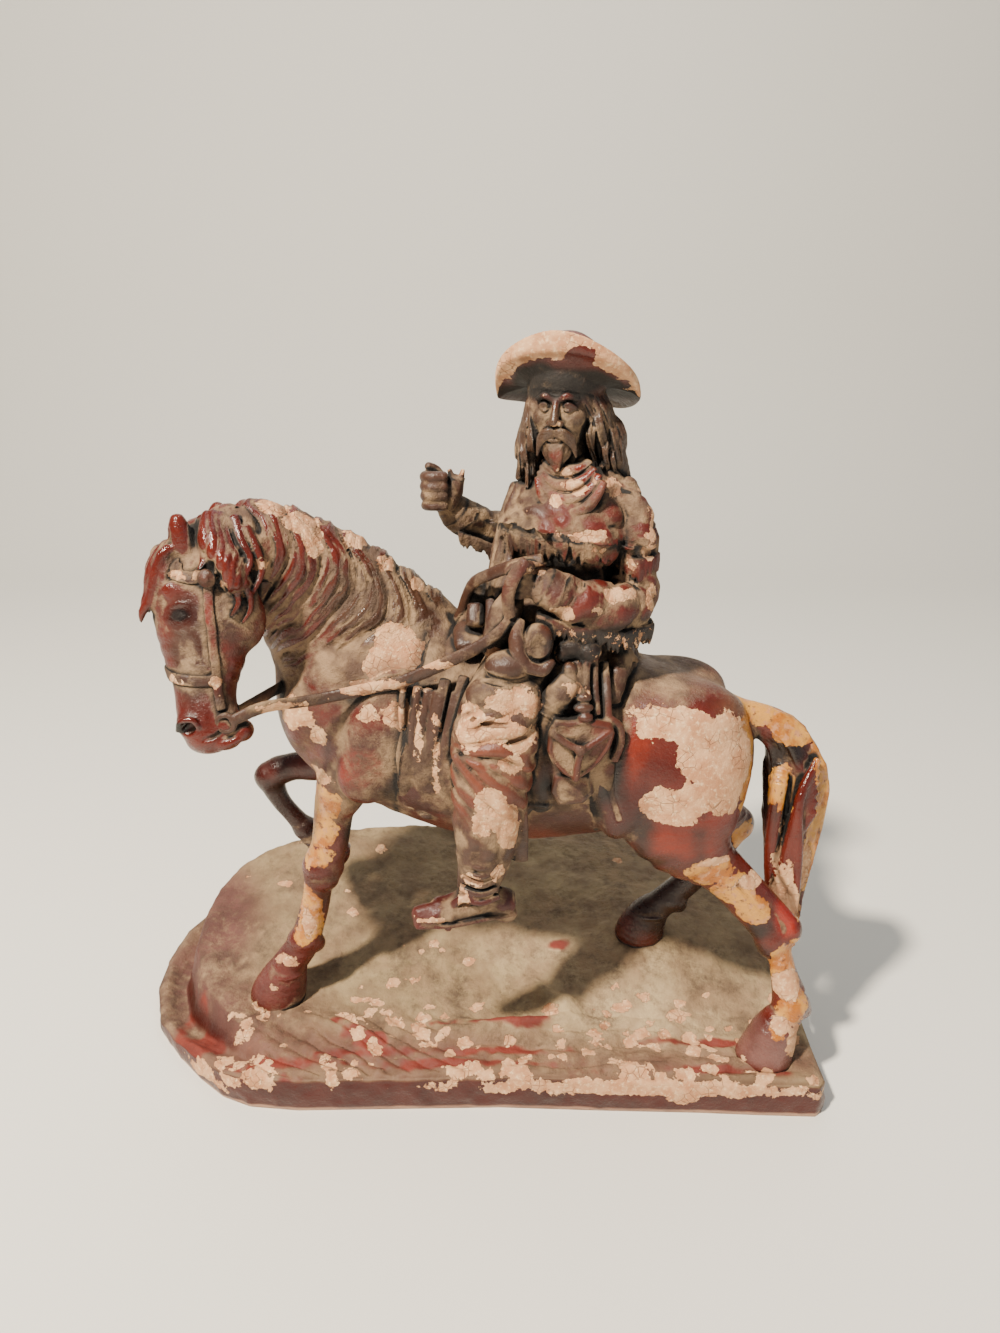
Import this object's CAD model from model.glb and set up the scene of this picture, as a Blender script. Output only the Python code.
# Painted pottery horse and rider on a rocky base, cast as one piece and painted in oils.
# All lengths in this file are millimetres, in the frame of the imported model. They become metres
# where a mesh is made.

import math

import bmesh
import bpy
import numpy as np
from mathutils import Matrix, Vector


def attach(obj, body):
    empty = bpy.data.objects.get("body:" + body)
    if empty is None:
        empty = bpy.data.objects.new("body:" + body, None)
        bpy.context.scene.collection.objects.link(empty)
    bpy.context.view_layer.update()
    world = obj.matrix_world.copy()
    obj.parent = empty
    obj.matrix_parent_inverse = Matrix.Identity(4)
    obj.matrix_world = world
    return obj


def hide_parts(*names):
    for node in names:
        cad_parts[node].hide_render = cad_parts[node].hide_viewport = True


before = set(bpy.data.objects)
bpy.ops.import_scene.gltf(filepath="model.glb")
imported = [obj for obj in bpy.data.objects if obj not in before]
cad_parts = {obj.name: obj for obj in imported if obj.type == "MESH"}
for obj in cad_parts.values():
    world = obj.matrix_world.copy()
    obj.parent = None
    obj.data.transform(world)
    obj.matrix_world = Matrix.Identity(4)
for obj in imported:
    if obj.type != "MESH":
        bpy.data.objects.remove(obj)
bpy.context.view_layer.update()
MM = 0.001
NODE = "horse_and_rider"


# The camera, the floor and the light
# The view is level with the hat and looks down on the figure by twenty degrees. A sheet of pale paper
# sweeps up behind it, and a small warm lamp at the front left does most of the lighting.

EYE = (17, -570, 450)
LOOK_DOWN = math.radians(20)
FOCAL_PX = 963
FRAME_PX = 1333
SENSOR = 36

camera = bpy.data.objects.new("camera", bpy.data.cameras.new("camera"))
camera.data.sensor_width = SENSOR
camera.data.lens = FOCAL_PX / FRAME_PX * SENSOR
camera.location = [v * MM for v in EYE]
camera.rotation_euler = (math.pi / 2 - LOOK_DOWN, 0, 0)
camera.data.clip_start = 0.01
camera.data.clip_end = 50
bpy.context.collection.objects.link(camera)
bpy.context.scene.camera = camera


def linear(hex_colour):
    """An sRGB hex value as linear RGBA."""
    parts = [int(hex_colour[i : i + 2], 16) / 255 for i in (1, 3, 5)]
    return [v / 12.92 if v <= 0.04045 else ((v + 0.055) / 1.055) ** 2.4 for v in parts] + [1]


def make_backdrop():
    """A pale floor that sweeps up into a wall well behind the figure."""
    half, reach, height, bend = 3.0, 1.6, 2.6, 0.5
    profile = [(-4.0, 0.0), (reach - bend, 0.0)]
    for i in range(1, 13):
        turn = math.pi / 2 * i / 12
        profile.append((reach - bend + bend * math.sin(turn), bend - bend * math.cos(turn)))
    profile.append((reach, height))
    verts = [(x, y, z) for y, z in profile for x in (-half, half)]
    faces = [(2 * i, 2 * i + 1, 2 * i + 3, 2 * i + 2) for i in range(len(profile) - 1)]
    mesh = bpy.data.meshes.new("backdrop")
    mesh.from_pydata(verts, [], faces)
    mesh.shade_smooth()
    paper = bpy.data.materials.new("pale_paper")
    paper.use_nodes = True
    shader = paper.node_tree.nodes["Principled BSDF"]
    shader.inputs["Base Color"].default_value = linear("#e2e1da")
    shader.inputs["Roughness"].default_value = 0.9
    mesh.materials.append(paper)
    sheet = bpy.data.objects.new("backdrop", mesh)
    bpy.context.collection.objects.link(sheet)


def add_softbox(name, place, aim, size, power, colour):
    light = bpy.data.lights.new(name, "AREA")
    light.shape = "DISK"
    light.size = size
    light.energy = power
    light.color = linear(colour)[:3]
    lamp = bpy.data.objects.new(name, light)
    lamp.location = place
    gaze = np.array(aim) - np.array(place)
    lamp.rotation_mode = "QUATERNION"
    lamp.rotation_quaternion = Vector(gaze).to_track_quat("-Z", "Y")
    bpy.context.collection.objects.link(lamp)


make_backdrop()
add_softbox("key", (-0.75, -0.95, 1.75), (0, -0.03, 0.2), 0.15, 110, "#fff0dc")
add_softbox("fill", (1.5, -1.3, 0.9), (0, 0, 0.2), 1.4, 4, "#f2f5ff")
add_softbox("top", (0.2, 0.7, 1.9), (0, 0, 0.2), 1.2, 10, "#ffffff")
world = bpy.data.worlds.new("studio")
world.use_nodes = True
world.node_tree.nodes["Background"].inputs["Color"].default_value = linear("#f1f3f5")
world.node_tree.nodes["Background"].inputs["Strength"].default_value = 0.27
bpy.context.scene.world = world


# The rocky base
# A lump of modelled ground, cast with the figure in clay or plaster. It is dusty on top, stepped down to
# a low lip at the front left, and thick and square at the front right.

BASE_LENGTH = 436
BASE_DEPTH = 242
RIM_HEIGHT = 24
LIP_HEIGHT = 11
CREST_HEIGHT = 62
BASE_OUTLINE = [
    (0.965, -0.96), (0.96, -0.7), (0.95, -0.33), (0.935, 0.08), (0.86, 0.44), (0.71, 0.67), (0.58, 0.83),
    (0.44, 0.96), (0.23, 1), (-0.09, 1), (-0.405, 0.975), (-0.655, 0.91), (-0.86, 0.81), (-0.955, 0.66),
    (-1.01, 0.43), (-1.025, 0.165), (-1.015, -0.12), (-0.955, -0.405), (-0.87, -0.59), (-0.785, -0.745),
    (-0.7, -0.87), (-0.615, -0.935), (-0.48, -0.96), (-0.2, -0.95), (0.08, -0.94), (0.35, -0.96),
    (0.63, -0.975), (0.79, -0.99), (0.945, -1),
]
CORNERS = [(a, b, c) for a in (0, 1) for b in (0, 1) for c in (0, 1)]  # of a unit cube
NOWHERE = -30.0  # a place's distance inside some spots that are all too far off to matter


def smoothstep(low, high, value):
    t = np.clip((value - low) / (high - low), 0, 1)
    return t * t * (3 - 2 * t)


def lumps(x, y, z, size, seed):
    """Smooth random lumps of about that size, from -1 to 1."""
    side, shift = 32, 100.37
    rng = np.random.default_rng(seed)
    table = rng.uniform(-1, 1, (side, side, side)).astype(np.float32)
    total = 0
    parts = []
    for v in (x, y, z):
        v = np.asarray(v, np.float32) / size + shift
        cell = np.floor(v).astype(np.int32)
        f = v - cell
        parts.append((cell, f * f * (3 - 2 * f)))
    (i, u), (j, v), (k, w) = parts
    for a, b, c in CORNERS:
        share = (u if a else 1 - u) * (v if b else 1 - v) * (w if c else 1 - w)
        total = total + share * table[(i + a) % side, (j + b) % side, (k + c) % side]
    return total


def ridged(turn, power):
    """Rounded ridges with sharp grooves between them, one to each half turn."""
    return np.abs(np.cos(turn)) ** power - 0.6


def make_object(name, verts, faces, most=195_000):
    """A mesh object from millimetres, thinned to a number of triangles."""
    mesh = bpy.data.meshes.new(name)
    mesh.vertices.add(len(verts))
    mesh.vertices.foreach_set("co", (np.asarray(verts) * MM).astype(np.float32).ravel())
    mesh.loops.add(faces.size)
    mesh.loops.foreach_set("vertex_index", faces.astype(np.int32).ravel())
    mesh.polygons.add(len(faces))
    mesh.polygons.foreach_set("loop_start", np.arange(0, faces.size, 4, dtype=np.int32))
    mesh.update(calc_edges=True)
    mesh.validate()
    piece = bpy.data.objects.new(name, mesh)
    bpy.context.collection.objects.link(piece)
    triangles = 2 * len(faces)
    if triangles > most:
        thin = piece.modifiers.new("thin", "DECIMATE")
        thin.ratio = most / triangles
        graph = bpy.context.evaluated_depsgraph_get()
        thinned = bpy.data.meshes.new_from_object(piece.evaluated_get(graph))
        piece.modifiers.clear()
        piece.data = thinned
        bpy.data.meshes.remove(mesh)
    piece.data.name = name
    piece.data.shade_smooth()
    return piece


def finish_piece(piece):
    piece.data.materials.clear()
    piece.data.materials.append(bpy.data.materials["painted_pottery"])
    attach(piece, "root")
    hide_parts(NODE)


skin = bpy.data.materials.new("painted_pottery")
skin.use_nodes = True
skin.node_tree.nodes["Principled BSDF"].inputs["Base Color"].default_value = linear("#8a5a48")
skin.node_tree.nodes["Principled BSDF"].inputs["Roughness"].default_value = 0.5


def ground_height(x, y):
    """The height of the ground inside the rim."""
    back = smoothstep(-BASE_DEPTH / 2, BASE_DEPTH * 0.3, y)
    left = 1 - smoothstep(-BASE_LENGTH / 2, -BASE_LENGTH * 0.3, x)
    height = RIM_HEIGHT + (CREST_HEIGHT - RIM_HEIGHT) * back * (1 - 0.45 * left)
    forms = [
        (118, -14, 46, 46, 0, 13), (20, -80, 42, 6, 0.05, 8), (-75, -84, 40, 6, -0.35, 7),
        (105, -108, 60, 5, 0.02, 4), (60, -66, 9, 8, 0, 10), (45, -55, 13, 6, -0.9, 7),
        (-70, 84, 48, 20, 0.1, 10), (40, 88, 40, 16, -0.1, 6),
    ]
    for fx, fy, along, across, turn, rise in forms:
        dx, dy = x - fx, y - fy
        u = (dx * math.cos(turn) + dy * math.sin(turn)) / along
        v = (dy * math.cos(turn) - dx * math.sin(turn)) / across
        height = height + rise * np.exp(-u * u - v * v)
    return height


def edge_height(inside, share, angle):
    """Full height at the front right; a terrace, a trough and a low lip at the front left."""
    low = smoothstep(0.2, 0.75, -np.cos(angle + 0.55))
    step = low * smoothstep(0.86, 0.92, share)
    terrace = 5 * low * np.exp(-(((share - 0.84) / 0.045) ** 2))
    lip = LIP_HEIGHT - 4.5 * (1 - smoothstep(0.93, 0.985, share))
    return (inside + terrace) * (1 - step) + lip * step


def make_base():
    around, rings, wall = 640, 132, 14
    outline = np.array(BASE_OUTLINE + BASE_OUTLINE[:1]) * (BASE_LENGTH / 2, BASE_DEPTH / 2)
    steps = np.linalg.norm(np.diff(outline, axis=0), axis=1)
    run = np.concatenate([[0], np.cumsum(steps)])
    at = np.linspace(0, run[-1], around, endpoint=False)
    ex = np.interp(at, run, outline[:, 0])
    ey = np.interp(at, run, outline[:, 1])
    share = np.linspace(0, 1, rings + 1)[1:, None]
    share = 1 - (1 - share) ** 1.15
    x, y = share * ex, share * ey
    angle = np.arctan2(ey, ex)[None, :]
    z = edge_height(ground_height(x, y), share, angle)
    level = np.zeros_like(x)
    rough = 1.6 * lumps(x, y, level, 34, 1) + 1.0 * lumps(x, y, level, 15, 2)
    rough = rough + 0.9 * lumps(x, y, level, 6.5, 3) + 0.45 * lumps(x, y, level, 3, 4)
    crust = np.abs(lumps(x, y, level, 9, 6)) * 2.2 * smoothstep(-70, -100, y)
    # strata of the rock, which run down to the left along the front
    run = y + 0.35 * (x - np.sqrt(x * x + 900))
    flow = (run + 9 * lumps(x, y, level, 60, 7) + 2 * lumps(x, y, level, 16, 8)) / 10.5
    strata = ridged(np.pi * flow, 0.6) * smoothstep(-58, -80, y)
    strata = strata * (0.4 + 0.9 * smoothstep(-0.3, 0.5, lumps(x, y, level, 36, 9)))
    rough = rough + crust + 3.0 * strata
    z = z + rough * (1 - smoothstep(0.97, 1, share))
    z = z - 2.2 * smoothstep(0.975, 1, share) ** 2
    rows = [np.stack([x, y, z], axis=-1)]
    rim = rows[0][-1]
    for i in range(1, wall + 1):
        down = i / wall
        ring = rim.copy()
        ring[:, 2] = rim[:, 2] * (1 - down)
        bulge = 0.9 * math.sin(math.pi * down) + 0.9 * lumps(ring[:, 0], ring[:, 1], ring[:, 2], 6, 5)
        if i < wall:
            out = ring[:, :2] / np.linalg.norm(ring[:, :2], axis=1)[:, None]
            ring[:, :2] += out * bulge[:, None]
        rows.append(ring[None])
    grid = np.concatenate(rows)
    layers = len(grid)
    verts = np.concatenate([[[0, 0, ground_height(0.0, 0.0)]], grid.reshape(-1, 3), [[0, 0, 0]]])
    k = np.arange(around)
    n = (k + 1) % around
    quads = []
    for r in range(layers - 1):
        a = 1 + r * around
        quads.append(np.stack([a + k, a + around + k, a + around + n, a + n], axis=1))
    piece = make_object("rocky_base", verts, np.concatenate(quads), math.inf)
    edit = bmesh.new()
    edit.from_mesh(piece.data)
    edit.verts.ensure_lookup_table()
    top, bottom = edit.verts[0], edit.verts[len(verts) - 1]
    last = 1 + (layers - 1) * around
    for i in range(around):
        j = (i + 1) % around
        edit.faces.new((top, edit.verts[1 + i], edit.verts[1 + j]))
        edit.faces.new((bottom, edit.verts[last + j], edit.verts[last + i]))
    edit.to_mesh(piece.data)
    edit.free()
    piece.data.shade_smooth()
    return piece


rocky_base = make_base()
finish_piece(rocky_base)


def rim_flakes():
    """Small flakes along the rim of the base, and round spots on the ground near it."""
    rng = np.random.default_rng(12)
    flakes = []
    for _ in range(34):
        t = rng.uniform(0, 1) ** 0.8
        x = -196 + 400 * t
        y = -118 + 34 * smoothstep(-110, -205, x) + rng.uniform(-2, 8)
        size = rng.uniform(2.5, 8.5)
        flakes.append((x, y, rng.uniform(12, 27), size * 1.5, size, size * rng.uniform(0.5, 0.9)))
    for _ in range(70):
        x = rng.uniform(-190, 205)
        y = rng.uniform(-108, -60) if rng.uniform() < 0.8 else rng.uniform(-60, 90)
        size = rng.uniform(1.4, 4.2)
        flakes.append((x, y, float(ground_height(x, y)), size * 1.2, size, 5))
    # where the crust gathers
    for cx, cy, reach, count in (
        (-128, -66, 16, 16), (-66, -70, 24, 22), (-20, -84, 16, 10), (-70, -104, 20, 9), (70, -88, 26, 14),
        (128, -70, 26, 14), (180, -84, 20, 14), (150, -110, 30, 10),
    ):
        for _ in range(count):
            x, y = cx + reach * rng.normal() * 0.7, cy + reach * rng.normal() * 0.4
            size = rng.uniform(1.2, 3.6)
            flakes.append((x, y, float(ground_height(x, y)), size * 1.3, size, 6))
    return flakes


# where the paint has flaked off and plaster shows, as (x, y, z) and radii
BARE = rim_flakes()


def field_of(places, points):
    """Millimetres inside the nearest of some ellipsoids (x, y, z and radii), negative outside."""
    best = np.full(len(points), NOWHERE)
    for place in places:
        centre, radii = place[:3], place[3:]
        q = np.sqrt((((points - centre) / radii) ** 2).sum(axis=1)) + 1e-6
        best = np.maximum(best, (1 - q) * min(radii))
    return best


def mix(colour, tint, share):
    """Mixes an sRGB tint into the linear colours of some points."""
    return colour + (np.array(linear(tint)[:3]) - colour) * share[:, None]


def shade(points, colour, places, tint, soft=3.0, strength=1.0):
    """Mixes a colour in over some places, with a soft and wandering edge."""
    x, y, z = points.T
    wander = 2.2 * lumps(x, y, z, 9, 31) + 1.1 * lumps(x, y, z, 3.6, 32)
    share = strength * smoothstep(-soft, soft, field_of(places, points) + wander)
    return mix(colour, tint, share)


def shades(points, colour, table):
    """Mixes colours in one after another. A row has places, a tint, and maybe softness and strength."""
    for places, tint, *more in table:
        colour = shade(points, colour, places, tint, *more)
    return colour


def flat_colour(count, tint):
    return np.tile(np.array(linear(tint)[:3]), (count, 1))


def base_scheme(points, normals, fine, wide, bend):
    x, y, z = points.T
    colour = flat_colour(len(points), "#8b7757")
    colour = shades(points, colour, (
        ([(-190, 0, 30, 44, 90, 40), (-150, -70, 28, 44, 36, 20)], "#5f3a33", 14),
        ([(-60, -96, 26, 130, 22, 12), (110, -104, 26, 110, 14, 12)], "#6b4639", 9, 0.9),
        ([(110, -70, 34, 84, 26, 14), (60, -30, 45, 60, 30, 12)], "#b9a27c", 12, 0.8),
        ([(-30, -40, 36, 60, 34, 12), (30, 50, 60, 60, 40, 16)], "#9c8861", 14, 0.6),
    ))
    streaks = [
        (6, -76, 38, 32, 4.5, 7), (34, -80, 36, 14, 6, 7), (-62, -98, 26, 28, 3, 6),
        (-84, -78, 30, 8, 5, 7), (-74, -85, 30, 9, 5, 7), (-62, -92, 30, 11, 6, 7), (56, -18, 47, 7, 4, 5),
        (140, -112, 26, 50, 2.5, 6), (-120, -104, 22, 26, 4, 6), (-20, -106, 26, 60, 3, 5),
        (-190, -40, 14, 5, 40, 10), (-170, -78, 12, 16, 14, 8), (-110, -113, 16, 24, 4, 6),
        (-178, -62, 22, 6, 26, 8), (150, -90, 29, 40, 2.5, 6), (20, -96, 27, 34, 3, 6),
    ]
    colour = shade(points, colour, streaks, "#72291c", 1.2)
    wall = smoothstep(0.75, 0.35, normals[:, 2]) * smoothstep(26, 20, z)
    colour = mix(colour, "#430f08", wall)
    foot = smoothstep(2.6, 1.2, z) * smoothstep(0.6, 0.2, normals[:, 2])
    colour = mix(colour, "#c9a084", foot * 0.8)
    top = smoothstep(0.5, 0.8, normals[:, 2])
    dust = 0.26 + 0.2 * top + 0.4 * fine + 0.22 * lumps(x, y, z, 22, 44) - 0.5 * wall
    dust = dust - 0.5 * smoothstep(-1.5, 1.5, field_of(streaks, points))
    gloss = 0.12 + 0.6 * wall
    near_rim = smoothstep(-88, -104, y) + smoothstep(-175, -195, x)
    chips = 0.2 + 0.3 * np.clip(near_rim, 0, 1) * (1 - wall)
    crust = [(98, -118, 18.5, 112, 9, 5.4), (206, -100, 16, 10, 30, 4), (-158, -92, 9, 24, 18, 4)]
    return colour, dust, gloss, chips, field_of(crust, points)


# The horse
# A sturdy horse at a walk, of the same cast. Barrel, neck, legs, head and tail are runs of oval sections
# with fillets between them, and the locks of mane and tail are tooled into the clay.

HORSE_SIDE = (0.107, 0.994, 0)
DOWN = (0, 0, 1)
BARREL = [
    (136, -58, 216, 33, 27), (120, -57, 214, 45, 42), (92, -53, 217, 50, 51), (50, -49, 213, 52, 57),
    (12, -45, 213, 53, 60), (-25, -41, 224, 49, 61), (-62, -37, 233, 42, 54), (-88, -34, 233, 33, 38),
]
NECK = [
    (-38, -33, 240, 36, 56), (-52, -33, 256, 34, 56), (-69, -35, 277, 29, 52), (-83, -39, 299, 25, 44),
    (-98, -46, 316, 22, 35), (-115, -54, 329, 20, 29), (-132, -62, 332, 18, 23),
]
HEAD = [
    (-126, -58, 340, 14, 15), (-137, -65, 328, 19, 24), (-141, -74, 306, 20, 28), (-141, -81, 285, 17, 24),
    (-141, -88, 264, 13.5, 17), (-140, -93, 249, 14, 16), (-138, -97, 238, 12.5, 13.5),
]
TAIL = [
    (144, -60, 238, 8, 9), (168, -60, 231, 8.5, 10), (184, -60, 218, 10, 13), (191, -61, 192, 11, 17.5),
    (190, -66, 158, 10, 15), (188, -77, 124, 7, 8), (187, -87, 102, 4.5, 5),
]
LEGS = {
    "near_hind": [
        (120, -62, 236, 26, 34), (122, -74, 210, 27, 37), (117, -82, 187, 23, 35), (124, -86, 168, 18, 25),
        (143, -87, 150, 12, 14), (163, -89, 128, 9.5, 12), (176, -91, 108, 7.5, 9.5),
        (184, -92, 90, 6.5, 7.2), (190, -96, 61, 8.5, 9.6), (186, -97, 50, 9, 10),
    ],
    "far_hind": [
        (115, -42, 225, 26, 32), (128, -34, 195, 22, 27), (150, -30, 165, 15, 16), (166, -28, 146, 8, 9.5),
        (157, -24, 124, 8, 9), (143, -20, 101, 8, 9), (128, -18, 84, 8.5, 9.5), (120, -17, 75, 9.5, 10.5),
    ],
    "near_fore": [
        (-58, -50, 222, 16, 22), (-72, -55, 200, 13, 17), (-81, -57, 179, 10.5, 12.5),
        (-86, -58, 150, 9.5, 11), (-92, -57, 133, 9.5, 11.5), (-98, -56, 112, 6.5, 7.2),
        (-106, -56, 80, 8, 9.5), (-119, -55, 59, 10, 10.5),
    ],
    "far_fore": [
        (-62, -20, 212, 16, 20), (-84, -17, 190, 11, 14), (-99, -14, 181, 9, 10.5), (-115, -12, 179, 8, 9),
        (-130, -10, 171, 8, 9), (-127, -9, 155, 6, 6.5), (-119, -8, 142, 5.5, 6), (-111, -7, 131, 7, 7.3),
        (-103, -6, 123, 9, 9.5),
    ],
}
HOOVES = [
    [(186, -97, 54, 9, 9.5), (182, -98, 42, 12.5, 14), (178, -99, 27, 14.5, 17)],
    [(121, -17, 78, 9, 9.5), (116, -16, 69, 11.5, 13.5), (112, -16, 58, 13, 16)],
    [(-117, -55, 62, 9.5, 9.5), (-122, -54, 49, 13, 14.5), (-127, -53, 36, 15, 17.5)],
    [(-106, -6, 127, 9, 9), (-99, -5, 118, 10.5, 11), (-93, -5, 109, 11.5, 12)],
]
FAR = 12.0  # signed distances are only kept true to this far from a skin
DEEPEST_RELIEF = 6  # relief is carved where a limb's skin is nearer than this
THINNEST = 0.4  # the least radius of a section


class Clay:
    """A block of clay: signed distances to its skin on a grid of voxels, negative inside."""

    def __init__(self, low, high, voxel):
        self.low = np.array(low, np.float32)
        self.voxel = voxel
        self.count = np.ceil((np.array(high) - low) / voxel).astype(int) + 1
        self.field = np.full(self.count, FAR, np.float32)

    def window(self, low, high, within=None):
        """The slices of the grid between two corners, and its coordinates there."""
        a = np.clip(np.floor((np.array(low) - self.low) / self.voxel).astype(int), 0, self.count)
        b = np.clip(np.ceil((np.array(high) - self.low) / self.voxel).astype(int) + 1, 0, self.count)
        if within:
            a = np.clip(a, [c.start for c in within], [c.stop for c in within])
            b = np.clip(b, [c.start for c in within], [c.stop for c in within])
        cut = tuple(slice(i, j) for i, j in zip(a, b))
        lines = [self.low[n] + self.voxel * np.arange(a[n], b[n], dtype=np.float32) for n in range(3)]
        grid = (lines[0][:, None, None], lines[1][None, :, None], lines[2][None, None, :])
        return cut, grid

    def join(self, cut, shape, blend):
        """Adds a form, with a fillet of about blend where it meets what is there."""
        old = self.field[cut]
        near = np.minimum(old, shape)
        if blend > 0:
            overlap = np.maximum(blend - np.abs(old - shape), 0) / blend
            near = near - overlap * overlap * blend * 0.25
        self.field[cut] = near

    def limb(self, stations, side, blend=2.0, ends=(0.5, 0.5), carve=None, spans=3, cut_out=False):
        """A run of elliptical sections at stations of (x, y, z, across, deep).

        The width across follows side. Each end is rounded to a share of its radius, and carve
        gives the relief from the distance along, the angle round the section and the place.
        """
        path = resample(stations, spans)
        frames = [section_frame(path, n, side) for n in range(len(path))]
        margin = min(FAR, max(blend, 4 * self.voxel) + 2)
        reach = path[:, 3:].max(axis=1)[:, None] + margin
        cut, grid = self.window((path[:, :3] - reach).min(axis=0), (path[:, :3] + reach).max(axis=0))
        shape = np.full([s.stop - s.start for s in cut], FAR, np.float32)
        along = angle = None
        if carve:
            along = np.zeros_like(shape)
            angle = np.zeros_like(shape)
        steps = np.linalg.norm(np.diff(path[:, :3], axis=0), axis=1)
        run = np.concatenate([[0], np.cumsum(steps)])
        for n in range(len(path) - 1):
            big = max(path[n, 3:].max(), path[n + 1, 3:].max()) + margin
            low = np.minimum(path[n, :3], path[n + 1, :3]) - big
            high = np.maximum(path[n, :3], path[n + 1, :3]) + big
            part, (x, y, z) = self.window(low, high, cut)
            inner = tuple(slice(p.start - c.start, p.stop - c.start) for p, c in zip(part, cut))
            e = (path[n + 1, :3] - path[n, :3]).astype(np.float32)
            length = max(steps[n], 1e-3)
            px, py, pz = path[n, :3].astype(np.float32)
            t = ((x - px) * e[0] + (y - py) * e[1] + (z - pz) * e[2]) / np.float32(length**2)
            over = np.where(t < 0, t, np.where(t > 1, t - 1, 0)) * np.float32(length)
            t = np.clip(t, 0, 1)
            cx = x - px - t * e[0]
            cy = y - py - t * e[1]
            cz = z - pz - t * e[2]
            (a0, d0), (a1, d1) = frames[n], frames[n + 1]
            u = cx * (a0[0] + t * (a1[0] - a0[0]))
            u += cy * (a0[1] + t * (a1[1] - a0[1]))
            u += cz * (a0[2] + t * (a1[2] - a0[2]))
            v = cx * (d0[0] + t * (d1[0] - d0[0]))
            v += cy * (d0[1] + t * (d1[1] - d0[1]))
            v += cz * (d0[2] + t * (d1[2] - d0[2]))
            ra = path[n, 3] + t * (path[n + 1, 3] - path[n, 3])
            rb = path[n, 4] + t * (path[n + 1, 4] - path[n, 4])
            rc = np.minimum(ra, rb)
            if n == 0:
                rc = np.where(over < 0, rc * ends[0], rc)
            if n == len(path) - 2:
                rc = np.where(over > 0, rc * ends[1], rc)
            w = over / rc
            u1, v1 = u / ra, v / rb
            q0 = np.sqrt(u1 * u1 + v1 * v1 + w * w) + 1e-5
            q1 = np.sqrt((u1 / ra) ** 2 + (v1 / rb) ** 2 + (w / rc) ** 2) + 1e-6
            d = (q0 * (q0 - 1) / q1).astype(np.float32)
            nearer = d < shape[inner]
            shape[inner] = np.where(nearer, d, shape[inner])
            if carve:
                along[inner] = np.where(nearer, run[n] + t * length, along[inner])
                angle[inner] = np.where(nearer, np.arctan2(v1, u1), angle[inner])
        if carve:
            near = np.nonzero(np.abs(shape) < DEEPEST_RELIEF)
            places = [grid[k].ravel()[near[k]] for k in range(3)]
            shape[near] -= carve(along[near], angle[near], *places).astype(np.float32)
        if cut_out:
            self.field[cut] = np.maximum(self.field[cut], -shape)
        else:
            self.join(cut, shape, blend)

    def rod(self, line, across, deep, *rest, **more):
        """A limb with the same section all along."""
        self.limb([(*p, across, deep) for p in line], *rest, **more)

    def lump(self, centre, radii, blend=2.0, turn=0.0, cut_out=False, tilt=0.0):
        """An ellipsoid, turned about +Z and then tilted about its own long axis."""
        margin = min(FAR, max(blend, 4 * self.voxel) + 2)
        big = max(radii) + margin
        cut, (x, y, z) = self.window(np.array(centre) - big, np.array(centre) + big)
        dx, dy, dz = x - centre[0], y - centre[1], z - centre[2]
        c, s = math.cos(turn), math.sin(turn)
        u, v = dx * c + dy * s, dy * c - dx * s
        ct, st = math.cos(tilt), math.sin(tilt)
        u, w = u * ct + dz * st, dz * ct - u * st
        rx, ry, rz = radii
        q0 = np.sqrt((u / rx) ** 2 + (v / ry) ** 2 + (w / rz) ** 2) + 1e-5
        q1 = np.sqrt((u / rx**2) ** 2 + (v / ry**2) ** 2 + (w / rz**2) ** 2) + 1e-6
        d = (q0 * (q0 - 1) / q1).astype(np.float32)
        if cut_out:
            k = blend
            old = self.field[cut]
            overlap = np.maximum(k - np.abs(old + d), 0) / k
            self.field[cut] = np.maximum(old, -d) + overlap * overlap * k * 0.25
        else:
            self.join(cut, d, blend)

    def plate(self, outline, middle, thick, lean=(0, 0), swell=0.0, rim=0.0, blend=0.6):
        """A flat form with an outline in x and z. It can swell in the middle and have a raised rim."""
        outline = np.array(outline, float)
        mx, mz = outline.mean(axis=0)
        low = (outline[:, 0].min() - 5, middle - thick - swell - 9, outline[:, 1].min() - 5)
        high = (outline[:, 0].max() + 5, middle + thick + swell + 9, outline[:, 1].max() + 5)
        cut, (x, y, z) = self.window(low, high)
        near = np.full(np.broadcast(x, z).shape, np.inf)
        odd = np.zeros(near.shape, bool)
        for (ax, az), (bx, bz) in zip(outline, np.roll(outline, -1, axis=0)):
            ex, ez = bx - ax, bz - az
            t = np.clip(((x - ax) * ex + (z - az) * ez) / (ex * ex + ez * ez), 0, 1)
            near = np.minimum(near, np.hypot(x - ax - t * ex, z - az - t * ez))
            crossing = ex * (z - az) / (ez if abs(ez) > 1e-9 else 1e-9) + ax
            odd ^= ((az > z) != (bz > z)) & (x < crossing)
        flat = np.where(odd, -near, near)
        half = thick + swell * smoothstep(0, 9, -flat) + rim * np.exp(-(((flat + 1.8) / 1.3) ** 2))
        off = np.abs(y - middle - lean[0] * (x - mx) - lean[1] * (z - mz)) - half
        edge = 1.3
        a, b = flat + edge, off + edge
        outside = np.sqrt(np.maximum(a, 0) ** 2 + np.maximum(b, 0) ** 2)
        shape = outside + np.minimum(np.maximum(a, b), 0) - edge
        self.join(cut, shape.astype(np.float32), blend)

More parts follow.
